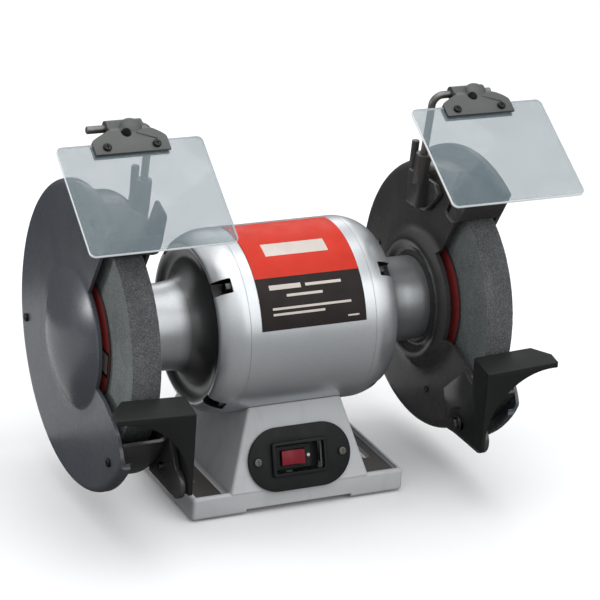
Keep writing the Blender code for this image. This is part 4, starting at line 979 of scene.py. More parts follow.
def make_inlet():
    """A ribbed rubber boot in the back wall where the supply cord would leave."""
    boot = bar("inlet_boot", (0, 0, -0.0065), (0, 0, 0.002), 0.0072, 48, place=INLET_PLACE)
    parts = []
    for i in range(5):
        start = 0.0003 + 0.0021 * i
        radius = 0.0105 - 0.0008 * i
        parts.append(bar("rib", (0, 0, start), (0, 0, start + 0.0017), radius, 48, 0.0005,
                         INLET_PLACE, radius - 0.0004))
    parts.append(bar("core", (0, 0, 0.0005), (0, 0, 0.0100), 0.0066, 48, 0, INLET_PLACE, 0.0060))
    join(boot, *parts)
    cut(boot, bar("inlet_bore", (0, 0, -0.02), (0, 0, 0.02), 0.0040, 40, place=INLET_PLACE))
    piece(boot, "frame", "black_rubber", ["cord_grommet"])


# ---------------------------------------------------------------- motor
def make_shell():
    """The drawn motor tube, in rings along its length."""
    inner = SHELL_RADIUS - 0.0025
    half = SHELL_HALF
    edge = [(half, inner), (half, SHELL_RADIUS)]
    middle = [(half * step / 6, SHELL_RADIUS) for step in range(5, -6, -1)]
    mirrored = [(-along, radius) for along, radius in reversed(edge)]
    shell = lathe("motor_tube", edge + middle + mirrored, segments=256)
    piece(shell, "frame", "silver_paint", ["motor_shell"])


def bell_profile():
    """Shoulder, dished annulus and neck, then back along the inside."""
    start = SHELL_HALF + 0.00008
    outside = flowing([(start, SHELL_RADIUS), (0.0600, 0.0763), (0.0640, 0.0756),
                       (0.0685, 0.0743), (0.0730, 0.0725), (0.0768, 0.0702), (0.0793, 0.0681),
                       (0.0801, 0.0664), (0.0798, 0.0648), (0.0786, 0.0625), (0.0771, 0.0598),
                       (0.0760, 0.0568), (0.0757, 0.0538), (0.0764, 0.0505), (0.0781, 0.0471),
                       (0.0808, 0.0438), (0.0845, 0.0408), (0.0893, 0.0384), (0.0955, 0.0367),
                       (0.1030, 0.0359), (0.1100, 0.0358), (NECK_END, NECK_RADIUS)], 4)
    inside = [(NECK_END, 0.0135), (0.1203, 0.0135), (0.1203, 0.0202), (0.1080, 0.0202),
              (0.1080, 0.0300), (0.0840, 0.0325), (0.0690, 0.0440), (0.0690, 0.0600),
              (0.0710, 0.0655), (start, 0.0720)]
    return outside + inside


def bolt_frame(side, angle):
    """Axes at the arbor: Z out along an angle, Y along the arbor outwards."""
    turn = math.radians(angle)
    out = Vector((0, -math.cos(turn), math.sin(turn)))
    along = Vector((side, 0, 0))
    return AT_ARBOR @ axes_of(along.cross(out), along, out)


def darken_pockets(bell, side):
    """The bolt pockets' faces get the near black oxide material as painted shade."""
    slack = 0.0001
    frames = [bolt_frame(side, angle).inverted() for angle in BOLT_ANGLES]

    def in_pocket(face):
        spots = [inward @ face.center for inward in frames]
        return any(abs(spot.x) < POCKET_HALF + slack and spot.y > BOLT_SEAT_X - slack
                   and spot.z > BOLT_CIRCLE - POCKET_DEPTH - slack for spot in spots)

    second_material(bell, "black_oxide_and_pocket_shade", in_pocket)


def make_bell(name, side):
    bell = lathe("bell_" + name, bell_profile(), side, 190)
    for angle in BOLT_ANGLES:
        place = bolt_frame(side, angle)
        join(bell, bar("boss", (0, BOLT_SEAT_X - 0.007, BOLT_CIRCLE - 0.0015),
                       (0, 0.0740, BOLT_CIRCLE - 0.0015), 0.0072, 40, 0, place))
    for angle in BOLT_ANGLES:
        place = bolt_frame(side, angle)
        cut(bell, block("pocket", (-POCKET_HALF, BOLT_SEAT_X, BOLT_CIRCLE - POCKET_DEPTH),
                        (POCKET_HALF, 0.09, BOLT_CIRCLE + 0.02), 0.0008, 2, place))
    for angle in BOLT_ANGLES:
        cut(bell, bar("hole", (0, 0.05, BOLT_CIRCLE), (0, 0.09, BOLT_CIRCLE), 0.0027, 32, 0,
                      bolt_frame(side, angle)))
    piece(bell, "frame", "bell_paint_dish_shade", ["end_bell_" + name])
    darken_pockets(bell, side)


def hexagon(radius):
    return arc((0, 0), radius, 0, 300, 5)


def make_through_bolts():
    """Long bolts with chamfered hexagon heads sunk in the bells' pockets."""
    for number, angle in enumerate(BOLT_ANGLES, 1):
        seat = BOLT_SEAT_X + GAP
        parts = [bar("shank", (0, -seat - 0.001, BOLT_CIRCLE), (0, seat + 0.001, BOLT_CIRCLE),
                     0.0024, 32, 0, bolt_frame(1, angle))]
        for side in SIDES.values():
            place = bolt_frame(side, angle) @ Matrix.Translation((0, 0, BOLT_CIRCLE))
            head = prism("head", hexagon(0.0046), seat + 0.0004, seat + 0.0045, "xz", 0.0003, 2,
                         place)
            parts.append(head)
            parts.append(bar("washer", (0, seat, 0), (0, seat + 0.0008, 0), 0.0050, 40, 0.0002,
                             place))
        bolt = parts[0]
        bolt.name = f"tie_bolt_{number}"
        join(bolt, *parts[1:])
        piece(bolt, "frame", "dark_steel", [f"through_bolt_{number}"])


# ---------------------------------------------------------------- nameplate
def curved_patch(name, left, right, bottom, top, raised, thickness):
    """A thin plate wrapped on the motor, between two ends along X and two angles."""
    shape = bmesh.new()
    steps_x, steps_a = 10, max(4, int(abs(top - bottom) / 2.5))
    grids = []
    for radius in (SHELL_RADIUS + raised, SHELL_RADIUS + raised + thickness):
        grid = []
        for i in range(steps_x + 1):
            x = left + (right - left) * i / steps_x
            row = []
            for j in range(steps_a + 1):
                angle = bottom + (top - bottom) * j / steps_a
                y, z = around(radius, angle)
                row.append(shape.verts.new(from_arbor(x, y, z)))
            grid.append(row)
        grids.append(grid)
    low, high = grids
    for i in range(steps_x):
        for j in range(steps_a):
            for grid in grids:
                shape.faces.new((grid[i][j], grid[i + 1][j], grid[i + 1][j + 1], grid[i][j + 1]))
    border = [(i, 0) for i in range(steps_x)] + [(steps_x, j) for j in range(steps_a)] + \
        [(i, steps_a) for i in range(steps_x, 0, -1)] + [(0, j) for j in range(steps_a, 0, -1)]
    for (i, j), (k, m) in zip(border, border[1:] + border[:1]):
        shape.faces.new((low[i][j], low[k][m], high[k][m], high[i][j]))
    bmesh.ops.recalc_face_normals(shape, faces=shape.faces)
    return as_object(name, shape)


def make_nameplate():
    """A two-colour foil with plain bars where a maker's print would be."""
    red = curved_patch("nameplate_upper", -LABEL_HALF, LABEL_HALF, LABEL_SPLIT, LABEL_TOP,
                       0.0002, 0.0004)
    piece(red, "frame", "label_red", ["nameplate"])
    black = curved_patch("nameplate_lower", -LABEL_HALF, LABEL_HALF, LABEL_BOTTOM, LABEL_SPLIT,
                         0.0002, 0.0004)
    piece(black, "frame", "label_black")
    bars = [(-0.030, 0.026, 61, 71), (-0.036, -0.008, 38.2, 41.2), (-0.004, 0.028, 38.8, 40.6),
            (-0.022, 0.010, 33.4, 35.0), (-0.036, 0.034, 26.0, 27.4), (-0.036, 0.010, 22.6, 24.0),
            (0.030, 0.040, 17.6, 18.6)]
    strips = [curved_patch("bar", left, right, bottom, top, 0.00062, 0.00006)
              for left, right, bottom, top in bars]
    piece(gather("nameplate_bars", strips), "frame", "label_pale")


# ---------------------------------------------------------------- wheels
def roughen(obj, amount, scale):
    """Move the surface in and out by a fixed noise."""
    mesh = obj.data
    normals = [vertex.normal.copy() for vertex in mesh.vertices]
    for vertex, normal in zip(mesh.vertices, normals):
        vertex.co += normal * (noise.fractal(vertex.co * scale, 0.8, 2.0, 4) * amount)


def make_wheel(name, side):
    """The abrasive ring, with worn corners and a rough surface."""
    inner, outer, radius = WHEEL_INNER_X + 0.0001, WHEEL_OUTER_X - 0.0001, WHEEL_RADIUS - 0.0003
    corner = 0.0009
    rim_steps = 18
    flat = [radius - corner - (radius - corner - 0.0620) * step / 14 for step in range(1, 15)]
    profile = [(inner, BORE_RADIUS)] + [(inner, r) for r in reversed(flat)]
    profile += arc((inner + corner, radius - corner), corner, 180, 90, 4)
    profile += [(inner + corner + (outer - inner - 2 * corner) * i / rim_steps, radius)
                for i in range(1, rim_steps)]
    profile += arc((outer - corner, radius - corner), corner, 90, 0, 4)
    profile += [(outer, r) for r in flat] + [(outer, BORE_RADIUS)]
    wheel = lathe("wheel_" + name, profile, side, 360)
    roughen(wheel, 0.00016, 420)
    piece(wheel, "rotor", "abrasive", ["grinding_wheel_" + name])
    second_material(wheel, "abrasive_rim", lambda face: abs(face.normal.x) < 0.6
                    and (face.center - ARBOR).yz.length > radius - 0.004)


def make_blotters(name, side):
    for which in ("inner", "outer"):
        low, high = extent(f"blotter_{which}_right")
        profile = [(low, BORE_RADIUS), (low, BLOTTER_RADIUS - 0.0001), (high - 0.0002, BLOTTER_RADIUS),
                   (high, BLOTTER_RADIUS - 0.0003), (high, BORE_RADIUS)]
        disc = lathe(f"paper_{which}_{name}", profile, side, 192)
        piece(disc, "rotor", "blotter_paper", [f"blotter_{which}_{name}"])


def make_blotter_mark(name, side):
    """A blank pale patch with a dark frame, printed on the outer blotter."""
    face = extent("blotter_outer_right")[1]
    place = AT_ARBOR @ Matrix.Rotation(math.radians(4), 4, "X")
    for label, width, height, depth, material in (
            ("frame", 0.0150, 0.0215, 0.00006, "label_black"),
            ("field", 0.0115, 0.0165, 0.00010, "label_pale")):
        points = rounded_rectangle(width, height, 0.0010, (-0.0478, 0))
        mark = prism(f"blotter_{label}_{name}", points, *span(side, face - 0.0001, face + depth),
                     "yz", 0, 1, place)
        piece(mark, "rotor", material)


def make_flanges(name, side):
    """Turned clamping flanges with a rounded rim and a relieved face."""
    low, high = extent("outer_flange_right")
    rim = FLANGE_RADIUS
    outer = [(low, BORE_RADIUS), (low, rim - 0.0006)] + arc((low + 0.0008, rim - 0.0008), 0.0008,
                                                            180, 90, 3)
    outer += arc((high - 0.0015, rim - 0.0015), 0.0015, 90, 0, 5)
    outer += [(high, rim - 0.0060), (high - 0.0008, rim - 0.0068), (high - 0.0008, 0.0160),
              (high, 0.0152), (high, BORE_RADIUS)]
    piece(lathe("clamp_flange_outer_" + name, outer, side, 96), "rotor",
          "zinc_steel", ["outer_flange_" + name])
    low, high = extent("inner_flange_right")
    start = high - 0.005
    inner = [(low, 0.0118), (low, 0.0088), (high, 0.0088), (high, rim - 0.0006)]
    inner += arc((start + 0.0015, rim - 0.0015), 0.0015, 90, 180, 5)
    inner += [(start, 0.0140), (start - 0.0012, 0.0125), (low + 0.0006, 0.0125)]
    piece(lathe("clamp_flange_inner_" + name, inner, side, 96), "rotor",
          "zinc_steel", ["inner_flange_" + name])


def make_nut(name, side):
    """A hexagon nut with both faces chamfered by a cone."""
    low, high = extent("arbor_nut_right")
    size = NUT_ACROSS_FLATS / math.sqrt(3)
    nut = side_plate("nut_" + name, hexagon(size - 0.0001), side, low, high, 0.0002, 1)
    chamfer = [(low, 0), (low, size - 0.0016), (low + 0.0012, size), (high - 0.0012, size),
               (high, size - 0.0016), (high, 0)]
    combine(nut, [lathe("chamfer", chamfer, side, 64, closed=False)], "INTERSECT")
    start, end = span(side, low, high)
    cut(nut, bar("bore", from_arbor(start - 0.01, 0, 0), from_arbor(end + 0.01, 0, 0),
                 BORE_RADIUS, 48))
    piece(nut, "rotor", "zinc_steel", ["arbor_nut_" + name])


# ---------------------------------------------------------------- guards
GUARD_LOWER_EDGE = [(-0.0545, -0.0182), (-0.0977, -0.0327), (-0.0990, -0.0450), (-0.150, -0.0680)]
COVER_LOWER_EDGE = [(-0.0527, -0.0229), (-0.0700, -0.0270), (-0.0930, -0.0390), (-0.1030, -0.0480),
                    (-0.1090, -0.0590), (-0.1115, -0.0720), (-0.160, -0.100)]


def opening(lower_edge, side):
    """Opens a guard in front of the wheel, outside the central disc."""
    edge = flowing(lower_edge, 6)
    first = math.degrees(math.atan2(edge[0][1], -edge[0][0]))
    steps = 40
    disc = [around(BOSS_RADIUS, OPEN_TOP + (first - OPEN_TOP) * i / steps) for i in range(steps)]
    points = disc + edge + [around(0.30, 0), around(0.30, OPEN_TOP)]
    return side_plate("opening", points, side, 0.108, 0.208)


def rim_shift(radius):
    """The rim is centred on the guard, the boss and dome on the arbor."""
    start, length = 0.066, 0.030
    return min(1.0, max(0.0, (radius - start) / length))


def make_guard_body(name, side):
    """Pressed inner plate with its rolled rim, arbor boss, tool rest ear and spark seat."""
    corner = arc((GUARD_PLATE_X + GUARD_CORNER, GUARD_RADIUS - GUARD_CORNER), GUARD_CORNER,
                 90, 180, 12)
    boss = flowing([(GUARD_PLATE_X, 0.0700), (GUARD_PLATE_X - 0.0004, 0.0655),
                    (GUARD_PLATE_X - 0.0016, 0.0610), (0.1302, 0.0568), (0.1272, 0.0530),
                    (0.1262, 0.0500), (0.1268, 0.0465), (0.1290, 0.0425), (0.1296, 0.0400),
                    (0.1286, 0.0382), (0.1280, 0.0366)], 5)
    rim_end = COVER_FACE_X - GUARD_SHEET - GAP
    rim = [(rim_end - (rim_end - 0.146) * i / 8, GUARD_RADIUS) for i in range(8)]
    plate = [(GUARD_PLATE_X, r / 1000) for r in (102, 96, 90, 84, 78)]
    line = rim + corner + plate + boss + [(0.1280, 0.0140)]
    body = lathe("guard_shell_" + name, sheet_section(line, GUARD_SHEET), side, 256,
                 warp=rim_shift)
    cut(body, opening(GUARD_LOWER_EDGE, side))
    join(body, rest_ear(side), spark_seat(side))
    hole = bar("ear_hole", from_arbor(side * 0.12, *REST_BOLT), from_arbor(side * 0.143, *REST_BOLT),
               0.0033, 40)
    cut(body, hole)
    piece(body, "frame", "guard_paint", ["guard_body_" + name])


def rest_ear(side):
    points = [(-0.060, -0.060), (-0.072, -0.0905)] + arc((-0.122, -0.079), 0.0120, 268, 90, 24)
    points += [(-0.1035, -0.0370), (-0.090, -0.0315)]
    return side_plate("ear", points, side, EAR_INNER_X, EAR_OUTER_X, 0.0005)


def radial_place(side, angle, x=0.157):
    """Axes at the arbor in a wheel's middle plane: X outboard, Z radial at an angle."""
    turn = math.radians(angle)
    out = Vector((0, -math.cos(turn), math.sin(turn)))
    along = Vector((side, 0, 0))
    axes = axes_of(along, out.cross(along), out)
    return Matrix.Translation(from_arbor(side * x, 0, 0)) @ axes


def spark_seat(side):
    return block("seat", (-0.0190, -0.0014, 0.1055), (0.0165, 0.0014, GUARD_RADIUS - 0.001),
                 0.0003, 1, radial_place(side, DEFLECTOR_ANGLE + 2.4))


def make_cover(name, side):
    """The outer cover: flat face, rolled lip and a dome over the arbor nut."""
    rise = COVER_DOME_X - COVER_FACE_X
    ball = (rise ** 2 + DOME_FOOT ** 2) / (2 * rise)
    foot = math.degrees(math.asin(DOME_FOOT / ball))
    dome = arc((COVER_DOME_X - ball, 0), ball, 0, foot * 0.985, 26)
    dome += [(COVER_FACE_X + 0.0002, DOME_FOOT + 0.0004), (COVER_FACE_X, DOME_FOOT + 0.0014)]
    face = [(COVER_FACE_X, r / 1000) for r in (68, 75, 82, 89, 96, 103, 110, 116)]
    corner = arc((COVER_FACE_X - COVER_CORNER, COVER_RADIUS - COVER_CORNER), COVER_CORNER,
                 0, 90, 10)
    line = dome + face + corner + [(0.1712, COVER_RADIUS), (COVER_LIP_X, COVER_RADIUS)]
    section = sheet_section(line, GUARD_SHEET)
    section = [(along, max(radius, 0.0)) for along, radius in section]
    cover = lathe("cover_shell_" + name, section, side, 256, warp=rim_shift)
    cut(cover, opening(COVER_LOWER_EDGE, side))
    piece(cover, "frame", "cover_paint", ["guard_cover_" + name])


def domed_screw(name, place, radius, height):
    """A round-headed screw with a cross recess; the place's Z points out of the surface."""
    head = bar(name, (0, 0, -0.0004), (0, 0, height), radius, 36, height * 0.45, place)
    for width, length in ((0.0007, radius * 1.3), (radius * 1.3, 0.0007)):
        cut(head, block("recess", (-width / 2, -length / 2, height * 0.4),
                        (width / 2, length / 2, height + 0.001), place=place))
    return head


def face_place(side, x, angle, radius, inward, centre):
    """A place on a guard's flat face, with Z pointing outboard or towards the motor."""
    y, z = around(radius, angle)
    normal = Vector((side * inward, 0, 0))
    turn = normal.to_track_quat("Z", "Y").to_matrix().to_4x4()
    return Matrix.Translation((side * x, centre.y + y, centre.z + z)) @ turn


def make_guard_screws(name, side):
    """Screws that close the cover, and the ones that hold the guard to the motor neck."""
    radius, angles = COVER_SCREWS
    cover = [domed_screw("screw", face_place(side, COVER_FACE_X, angle, radius, 1, GUARD_CENTRE),
                         0.0036, 0.0022) for angle in angles]
    piece(gather("cover_screws_" + name, cover), "frame", "black_oxide_and_pocket_shade")
    radius, angles = PLATE_SCREWS
    plate = [domed_screw("screw", face_place(side, GUARD_PLATE_X, angle, radius, -1, ARBOR),
                         0.0028, 0.0016) for angle in angles]
    piece(gather("guard_screws_" + name, plate), "frame", "dark_steel")


# ---------------------------------------------------------------- tool rests
def make_rest(name, side):
    rest = rest_table(side)
    join(rest, rest_skirt(side), rest_web(side))
    slot = rounded_rectangle(0.0186, 0.0066, 0.0032, REST_BOLT)
    cut(rest, side_plate("slot", slot, side, REST_INNER_X - 0.01, REST_INNER_X + 0.01))
    rest.name = "rest_casting_" + name
    piece(rest, "tool_rest_" + name, "rest_casting", ["tool_rest_" + name])


def rest_table(side):
    """The sloping table with its outer back corner cut off."""
    outline = [(REST_INNER_X, REST_FRONT), (REST_OUTER_X, REST_FRONT),
               (REST_OUTER_X, REST_BACK - 0.013), (REST_OUTER_X - 0.013, REST_BACK),
               (REST_INNER_X, REST_BACK)]
    outline = [(side * x, y) for x, y in outline]
    table = prism("table", outline, -REST_THICKNESS, 0, "xy", 0.0008, 3)
    slope = (REST_BACK_HEIGHT - REST_FRONT_HEIGHT) / (REST_BACK - REST_FRONT)
    for vertex in table.data.vertices:
        across = (side * vertex.co.x - REST_INNER_X) / (REST_OUTER_X - REST_INNER_X)
        rise = REST_FRONT_HEIGHT + (vertex.co.y - REST_FRONT) * slope + REST_RISE * across
        vertex.co.z += ARBOR.z + rise
        vertex.co.y += ARBOR.y
    return table


def rest_skirt(side):
    top = REST_FRONT_HEIGHT - 0.0014
    x, z, radius = REST_ARC
    curve = arc((x, z), radius, 180, 90, 36)
    points = [(REST_INNER_X, top), (REST_INNER_X, REST_FOOT), (x - radius, REST_FOOT)] + curve
    points += [(REST_OUTER_X, curve[-1][1]), (REST_OUTER_X, top + REST_RISE)]
    points = [(side * a, b) for a, b in points]
    return prism("skirt", points, REST_FRONT, REST_FRONT + REST_WALL, "xz", 0.0007, 2,
                 AT_ARBOR)


def rest_web(side):
    points = [(REST_BACK, REST_BACK_HEIGHT - 0.0014), (REST_BACK - 0.001, -0.045),
              (-0.0960, -0.0635), (-0.0830, -0.0665), (-0.0810, -0.0700), (-0.0810, -0.0800),
              (-0.0850, REST_FOOT), (REST_FRONT + 0.002, REST_FOOT),
              (REST_FRONT + 0.002, REST_FRONT_HEIGHT - 0.0014)]
    return side_plate("web", softened(points, 0.003), side, REST_INNER_X,
                      REST_INNER_X + REST_WALL, 0.0006)


def make_rest_bolt(name, side):
    head = REST_INNER_X - GAP
    y, z = REST_BOLT
    place = Matrix.Translation((0, ARBOR.y + y, ARBOR.z + z))
    bolt = prism("rest_bolt_" + name, hexagon(0.0056), *span(side, head - 0.0055, head - 0.0010),
                 "yz", 0.0004, 2, place)
    join(bolt, bar("washer", (side * (head - 0.0014), 0, 0), (side * head, 0, 0), 0.0068, 48,
                   0.0003, place),
         bar("shank", (side * (head - 0.0012), 0, 0), (side * 0.1415, 0, 0), 0.003, 32, 0.0003,
             place))
    piece(bolt, "frame", "dark_steel", ["tool_rest_bolt_" + name])


# ---------------------------------------------------------------- eye shields
def rod_corner(name):
    """Where the rod's leg and arm would meet, from the shield's hinge."""
    hinge = Vector(JOINTS["shield_tilt_" + name]["pos_m"])
    low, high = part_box("shield_rod_" + name)
    leg = low.x + ROD_RADIUS if name == "right" else high.x - ROD_RADIUS
    return Vector((leg, hinge.y, hinge.z))


def make_rod(name, side):
    """A bent round bar, its cut ends chamfered."""
    corner = rod_corner(name)
    low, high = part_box("shield_rod_" + name)
    axis = Vector(JOINTS["rod_slide_" + name]["axis"]).normalized()
    foot = corner - axis * ((corner.z - low.z) / axis.z)
    tip = Vector((high.x if side > 0 else low.x, corner.y, corner.z))
    down, along = (foot - corner).normalized(), (tip - corner).normalized()
    centre = corner + (down + along) * ROD_BEND
    steps = 18
    bend = [centre - along * ROD_BEND * math.cos(a) - down * ROD_BEND * math.sin(a)
            for a in [math.pi / 2 * i / steps for i in range(steps + 1)]]
    curve = bpy.data.curves.new("rod_" + name, "CURVE")
    curve.dimensions = "3D"
    curve.bevel_depth = ROD_RADIUS
    curve.bevel_resolution = 10
    curve.use_fill_caps = True
    spline = curve.splines.new("POLY")
    path = [foot, foot - down * 0.0006] + bend + [tip - along * 0.0006, tip]
    spline.points.add(len(path) - 1)
    for point, place in zip(spline.points, path):
        point.co = (*place, 1)
    spline.points[0].radius = 0.82
    spline.points[-1].radius = 0.82
    drawn = bpy.data.objects.new("rod_bar_" + name, curve)
    bpy.context.scene.collection.objects.link(drawn)
    mesh = evaluated_mesh(drawn)
    bpy.data.objects.remove(drawn, do_unlink=True)
    rod = bpy.data.objects.new("rod_bar_" + name, mesh)
    bpy.context.scene.collection.objects.link(rod)
    piece(rod, "shield_rod_" + name, "rod_steel", ["shield_rod_" + name])


def make_bracket(name, side):
    """The casting on the guard that holds the rod: foot, block, sleeve and lug."""
    foot = [(-0.0265, 0.1000), (-0.0060, 0.0790), (0.0150, 0.0790), (0.0215, 0.0880),
            (0.0215, 0.1080), (-0.0180, 0.1080)]
    bracket = side_plate("bracket_" + name, softened(foot, 0.003), side, SEAT_X, 0.1305, 0.0008, 3)
    start, end = span(side, 0.1210, 0.1315)
    axis = Vector(JOINTS["rod_slide_" + name]["axis"]).normalized()
    corner = rod_corner(name)

    def leg(height):
        return corner + axis * ((ARBOR.z + height - corner.z) / axis.z)

    join(bracket, block("block", (start, -0.0085, 0.0835), (end, 0.0110, 0.1130), 0.0015, 3,
                        AT_ARBOR),
         bar("sleeve", leg(0.104), leg(0.131), 0.0066, 48, 0.0010),
         bar("lug", (side * 0.1262, 0.0135, 0.100), (side * 0.1262, 0.0110, 0.1370), 0.0032, 32,
             0.0008, AT_ARBOR))
    cut(bracket, bar("bore", leg(0.06), leg(0.15), ROD_RADIUS + GAP, 40))
    piece(bracket, "frame", "guard_paint", ["shield_bracket_" + name])


def shield_place(name):
    """Axes on the rod's arm: X across, Y down the shield, Z off its front."""
    hinge = Vector(JOINTS["shield_tilt_" + name]["pos_m"])
    tilt = math.radians(SHIELD_TILT[name])
    down = Vector((0, -math.sin(tilt), -math.cos(tilt)))
    front = Vector((0, -math.cos(tilt), math.sin(tilt)))
    return Matrix.Translation(hinge) @ axes_of(down.cross(front), down, front)


def make_shield(name):
    """A clear plate whose polished faces and cut edges differ; the cut edges are painted pale and glow
    as painted light.
    """
    place = shield_place(name)
    points = rounded_rectangle(SHIELD_WIDTH, SHIELD_LENGTH, 0.005,
                               (0, SHIELD_START + SHIELD_LENGTH / 2), 10)
    half = SHIELD_THICKNESS / 2
    shield = prism("shield_" + name, points, SHIELD_OFFSET - half, SHIELD_OFFSET + half, "xy",
                   0.0005, 2, place)
    piece(shield, "shield_" + name, "clear_plastic", ["eye_shield_" + name])
    front = place.to_3x3() @ Vector((0, 0, 1))
    # The cut edges get the pale glowing material, painted light.
    second_material(shield, "clear_edge_glow", lambda face: abs(face.normal.dot(front)) < 0.9)


def pressed_hump(place, top):
    """The raised round bump beside the clamp's notch."""
    shape = bmesh.new()
    bmesh.ops.create_uvsphere(shape, u_segments=40, v_segments=20, radius=1.0)
    squash = Matrix.Diagonal((0.0090, 0.0085, 0.0042, 1))
    spot = place @ Matrix.Translation((-0.0055, 0.0075, top - 0.0030)) @ squash
    bmesh.ops.transform(shape, matrix=spot, verts=shape.verts)
    return as_object("hump", shape)


def stiffening_rib(place, top):
    """A low slanting rib pressed in the clamp's front jaw."""
    points = softened([(-0.0235, 0.0225), (-0.0215, 0.0195), (-0.0095, 0.0125), (-0.0065, 0.0150)],
                      0.0015)
    return prism("rib", points, top - 0.0010, top + 0.0007, "xy", 0.0004, 2, place)


def make_clamp(name):
    """A rolled eye round the rod that opens into two jaws on the shield's edge."""
    place = shield_place(name)
    front = SHIELD_OFFSET + SHIELD_THICKNESS / 2 + GAP
    back = SHIELD_OFFSET - SHIELD_THICKNESS / 2 - GAP
    jaw, end, roll = 0.0018, 0.0325, 0.0062
    half, (low, high) = CLAMP_HALF, CLAMP_EYE
    upper = flowing(arc((0, 0), roll, 235, 85, 16) + [(0.0050, 0.0072), (0.0100, front + 0.0002),
                                                      (0.0150, front + jaw), (0.0190, front + jaw)], 3)
    section = [(-0.0035, -0.0051)] + upper + [(end, front + jaw), (end, back - jaw),
                                              (0.0150, back - jaw), (0.0075, -0.0030)]
    clamp = prism("clamp_" + name, section, -half, half, "yz", 0.0003, 2, place)
    edge = [(-half, 0.05), (-half, 0.0195), (low - 0.001, 0.0085), (low, -0.02), (high, -0.02),
            (high + 0.001, 0.0085), (half, 0.0195), (half, 0.05)]
    combine(clamp, [prism("edge", softened(edge, 0.002), -0.03, 0.03, "xy", 0, 1, place)],
            "INTERSECT")
    join(clamp, pressed_hump(place, front + jaw), stiffening_rib(place, front + jaw))
    cut(clamp, block("mouth", (-0.05, SHIELD_START - GAP, back), (0.05, 0.05, front), place=place),
        bar("eye", (-0.05, 0, 0), (0.05, 0, 0), ROD_RADIUS + GAP, 48, place=place),
        bar("notch", (0.0010, 0.0140, 0.004), (0.0010, 0.0140, 0.03), 0.0042, 40, place=place))
    piece(clamp, "shield_" + name, "clamp_paint", ["shield_clamp_" + name])
    heads = []
    for x in (-CLAMP_SCREW_X, CLAMP_SCREW_X):
        spot = place @ Matrix.Translation((x, 0.0268, front + jaw))
        heads.append(domed_screw("screw", spot, 0.0034, 0.0024))
    piece(gather("clamp_screws_" + name, heads), "shield_" + name, "black_oxide_and_pocket_shade")


# ---------------------------------------------------------------- spark deflectors
def make_deflector(name, side):
    """A small adjustable plate, bent from one sheet with its slotted ear."""
    plate = block("deflector_" + name, (-0.0225, -0.0010, 0.1055), (0.0150, 0.0010, 0.1280),
                  0.0004, 2, radial_place(side, DEFLECTOR_ANGLE))
    ear = [(-0.0585, 0.0885), (-0.0470, 0.0830), (-0.0360, 0.0870), (-0.0315, 0.0960),
           (-0.0400, 0.1090), (-0.0530, 0.1320), (-0.0725, 0.1250), (-0.0650, 0.0985)]
    join(plate, side_plate("ear", softened(ear, 0.0035), side, EAR_INNER_X, SEAT_X, 0.0004))
    cut(plate, block("slot", (-0.030, -0.0022, 0.0985), (-0.010, 0.0022, 0.1075),
                     place=radial_place(side, DEFLECTOR_ANGLE + 9)))
    piece(plate, "deflector_" + name, "guard_paint", ["spark_deflector_" + name])


# ---------------------------------------------------------------- nodes kept from the model
KEPT = {
    "zinc_steel": ("base_bottom_plate",),
    "capacitor_case": ("run_capacitor",),
    "laminated_steel": ("stator_core", "rotor_core"),
    "copper_wire": ("stator_winding_left", "stator_winding_right"),
    "ground_steel": ("shaft", "bearing_outer_left", "bearing_outer_right", "bearing_inner_left",
                     "bearing_inner_right"),
}


def dress_kept_nodes():
    for name, nodes in KEPT.items():
        for node in nodes:
            obj = frame["nodes"][node]
            obj.data.materials.clear()
            obj.data.materials.append(MATERIALS[name])


# ---------------------------------------------------------------- stage
def make_floor():
    shape = bmesh.new()
    bmesh.ops.create_grid(shape, x_segments=4, y_segments=4, size=6.0)
    floor = as_object("floor", shape)
    made, tree, shader = new_material("floor", 0.6)
    tone = ramp(tree, grain(tree, 2, 3), [(0.3, (0.90, 0.905, 0.91)), (0.7, (0.92, 0.92, 0.925))])
    link_all(tree, shader, tone)
    floor.data.materials.append(made)
    floor.visible_diffuse = False
    floor.visible_glossy = False


REFLECTOR = (-0.90, 0.20, 0.12, 0.44)
WORLD_STRENGTH = 1.10


def make_reflector():
    """A grey card on the table behind the machine, seen only in glossy surfaces."""
    shape = bmesh.new()
    left, right, near, far = REFLECTOR
    corners = ((left, near), (right, near), (right, far), (left, far))
    shape.faces.new([shape.verts.new((x, y, 0.002)) for x, y in corners])
    card = as_object("reflector", shape)
    made, tree, shader = new_material("reflector", 0.9)
    link_all(tree, shader, ramp(tree, grain(tree, 2, 3), [(0.3, grey(0.52)), (0.7, grey(0.56))]))
    card.data.materials.append(made)
    card.visible_camera = False
    card.visible_diffuse = False
    card.visible_shadow = False
    card.visible_transmission = False


LIGHTS = {
    "key": ((1.1, -1.5, 1.25), (2.4, 2.0), 14.5),
    "top": ((0.1, -0.1, 1.9), (1.8, 1.4), 11),
    "left": ((-1.3, 0.45, 0.42), (0.32, 0.36), 5),
    "back": ((0.5, 1.6, 1.0), (1.2, 0.6), 4),
}


def softbox(name, place, target, size, power):
    light = bpy.data.lights.new(name, "AREA")
    light.shape = "RECTANGLE"
    light.size, light.size_y = size
    light.energy = power
    obj = bpy.data.objects.new(name, light)
    obj.location = place
    obj.rotation_euler = (Vector(target) - Vector(place)).to_track_quat("-Z", "Y").to_euler()
    bpy.context.scene.collection.objects.link(obj)


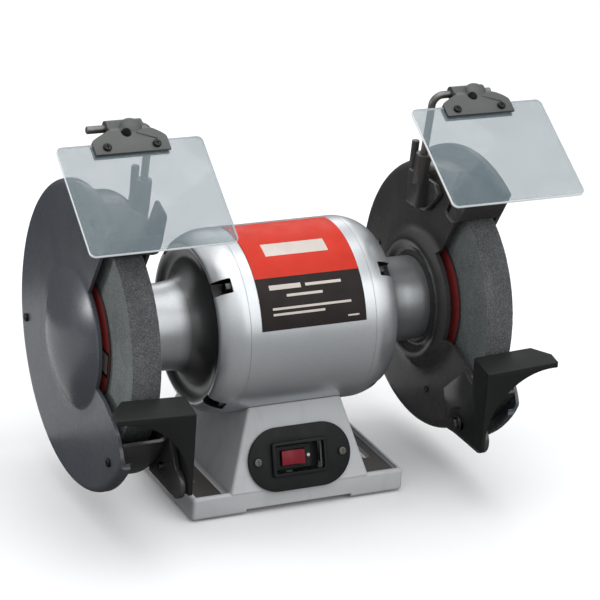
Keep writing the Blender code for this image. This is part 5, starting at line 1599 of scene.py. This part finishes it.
def make_world():
    """Pale overhead, darker towards the horizon and below, as in a studio with a soft ceiling."""
    world = bpy.data.worlds.new("studio")
    world.use_nodes = True
    tree = world.node_tree
    background = tree.nodes["Background"]
    background.inputs["Strength"].default_value = WORLD_STRENGTH
    coordinates = add(tree, "TexCoord")
    apart = add(tree, "SeparateXYZ")
    tree.links.new(coordinates.outputs["Generated"], apart.inputs["Vector"])
    height = spread(tree, apart.outputs["Z"], -1.0, 1.0, 0.0, 1.0)
    sky = ramp(tree, height, [(0.0, grey(0.05)), (0.48, grey(0.07)),
                              (0.60, (0.20, 0.20, 0.205)), (0.80, (0.72, 0.73, 0.74)),
                              (1.0, (1.0, 1.0, 1.0))])
    near = spread(tree, apart.outputs["Y"], 0.1, -0.8, 0.0, 0.25)
    lifted = blended(tree, 1.0, sky, ramp(tree, near, [(0.0, (0, 0, 0)), (1.0, (1, 1, 1))]), "ADD")
    tree.links.new(lifted, background.inputs["Color"])
    bpy.context.scene.world = world


def make_lights():
    for name, (place, size, power) in LIGHTS.items():
        softbox(name, place, ARBOR, size, power)


def make_camera():
    """Seen from the front left and above, tilted a little, with a long lens."""
    azimuth, elevation, roll = (math.radians(angle) for angle in (27.3, 21.9, 4.2))
    distance = 2.1574
    target = Vector((0.0243, ARBOR.y + 0.0024, ARBOR.z + 0.0080))
    back = Vector((-math.sin(azimuth) * math.cos(elevation),
                   -math.cos(azimuth) * math.cos(elevation), math.sin(elevation)))
    right = (-back).cross(Vector((0, 0, 1))).normalized()
    up = right.cross(-back)
    turned_right = right * math.cos(roll) + up * math.sin(roll)
    turned_up = -right * math.sin(roll) + up * math.cos(roll)
    camera = bpy.data.objects.new("camera", bpy.data.cameras.new("camera"))
    place = Matrix.Translation(target + back * distance)
    camera.matrix_world = place @ axes_of(turned_right, turned_up, back)
    camera.data.sensor_width = 36
    camera.data.lens = 155.55
    camera.data.clip_end = 20
    bpy.context.scene.collection.objects.link(camera)
    bpy.context.scene.camera = camera


# ---------------------------------------------------------------- assembly
bpy.context.scene.view_settings.view_transform = "Standard"
make_camera()
make_floor()
make_reflector()
make_world()
make_lights()
make_base()
make_feet()
make_base_screws()
make_switch_plate()
make_switch_screws()
make_switch_housing()
make_rocker()
make_inlet()
make_shell()
make_through_bolts()
make_nameplate()
for NAME, SIDE in SIDES.items():
    make_bell(NAME, SIDE)
    make_wheel(NAME, SIDE)
    make_blotters(NAME, SIDE)
    make_blotter_mark(NAME, SIDE)
    make_flanges(NAME, SIDE)
    make_nut(NAME, SIDE)
    make_guard_body(NAME, SIDE)
    make_cover(NAME, SIDE)
    make_guard_screws(NAME, SIDE)
    make_rest(NAME, SIDE)
    make_rest_bolt(NAME, SIDE)
    make_rod(NAME, SIDE)
    make_bracket(NAME, SIDE)
    make_shield(NAME)
    make_clamp(NAME)
    make_deflector(NAME, SIDE)
dress_kept_nodes()
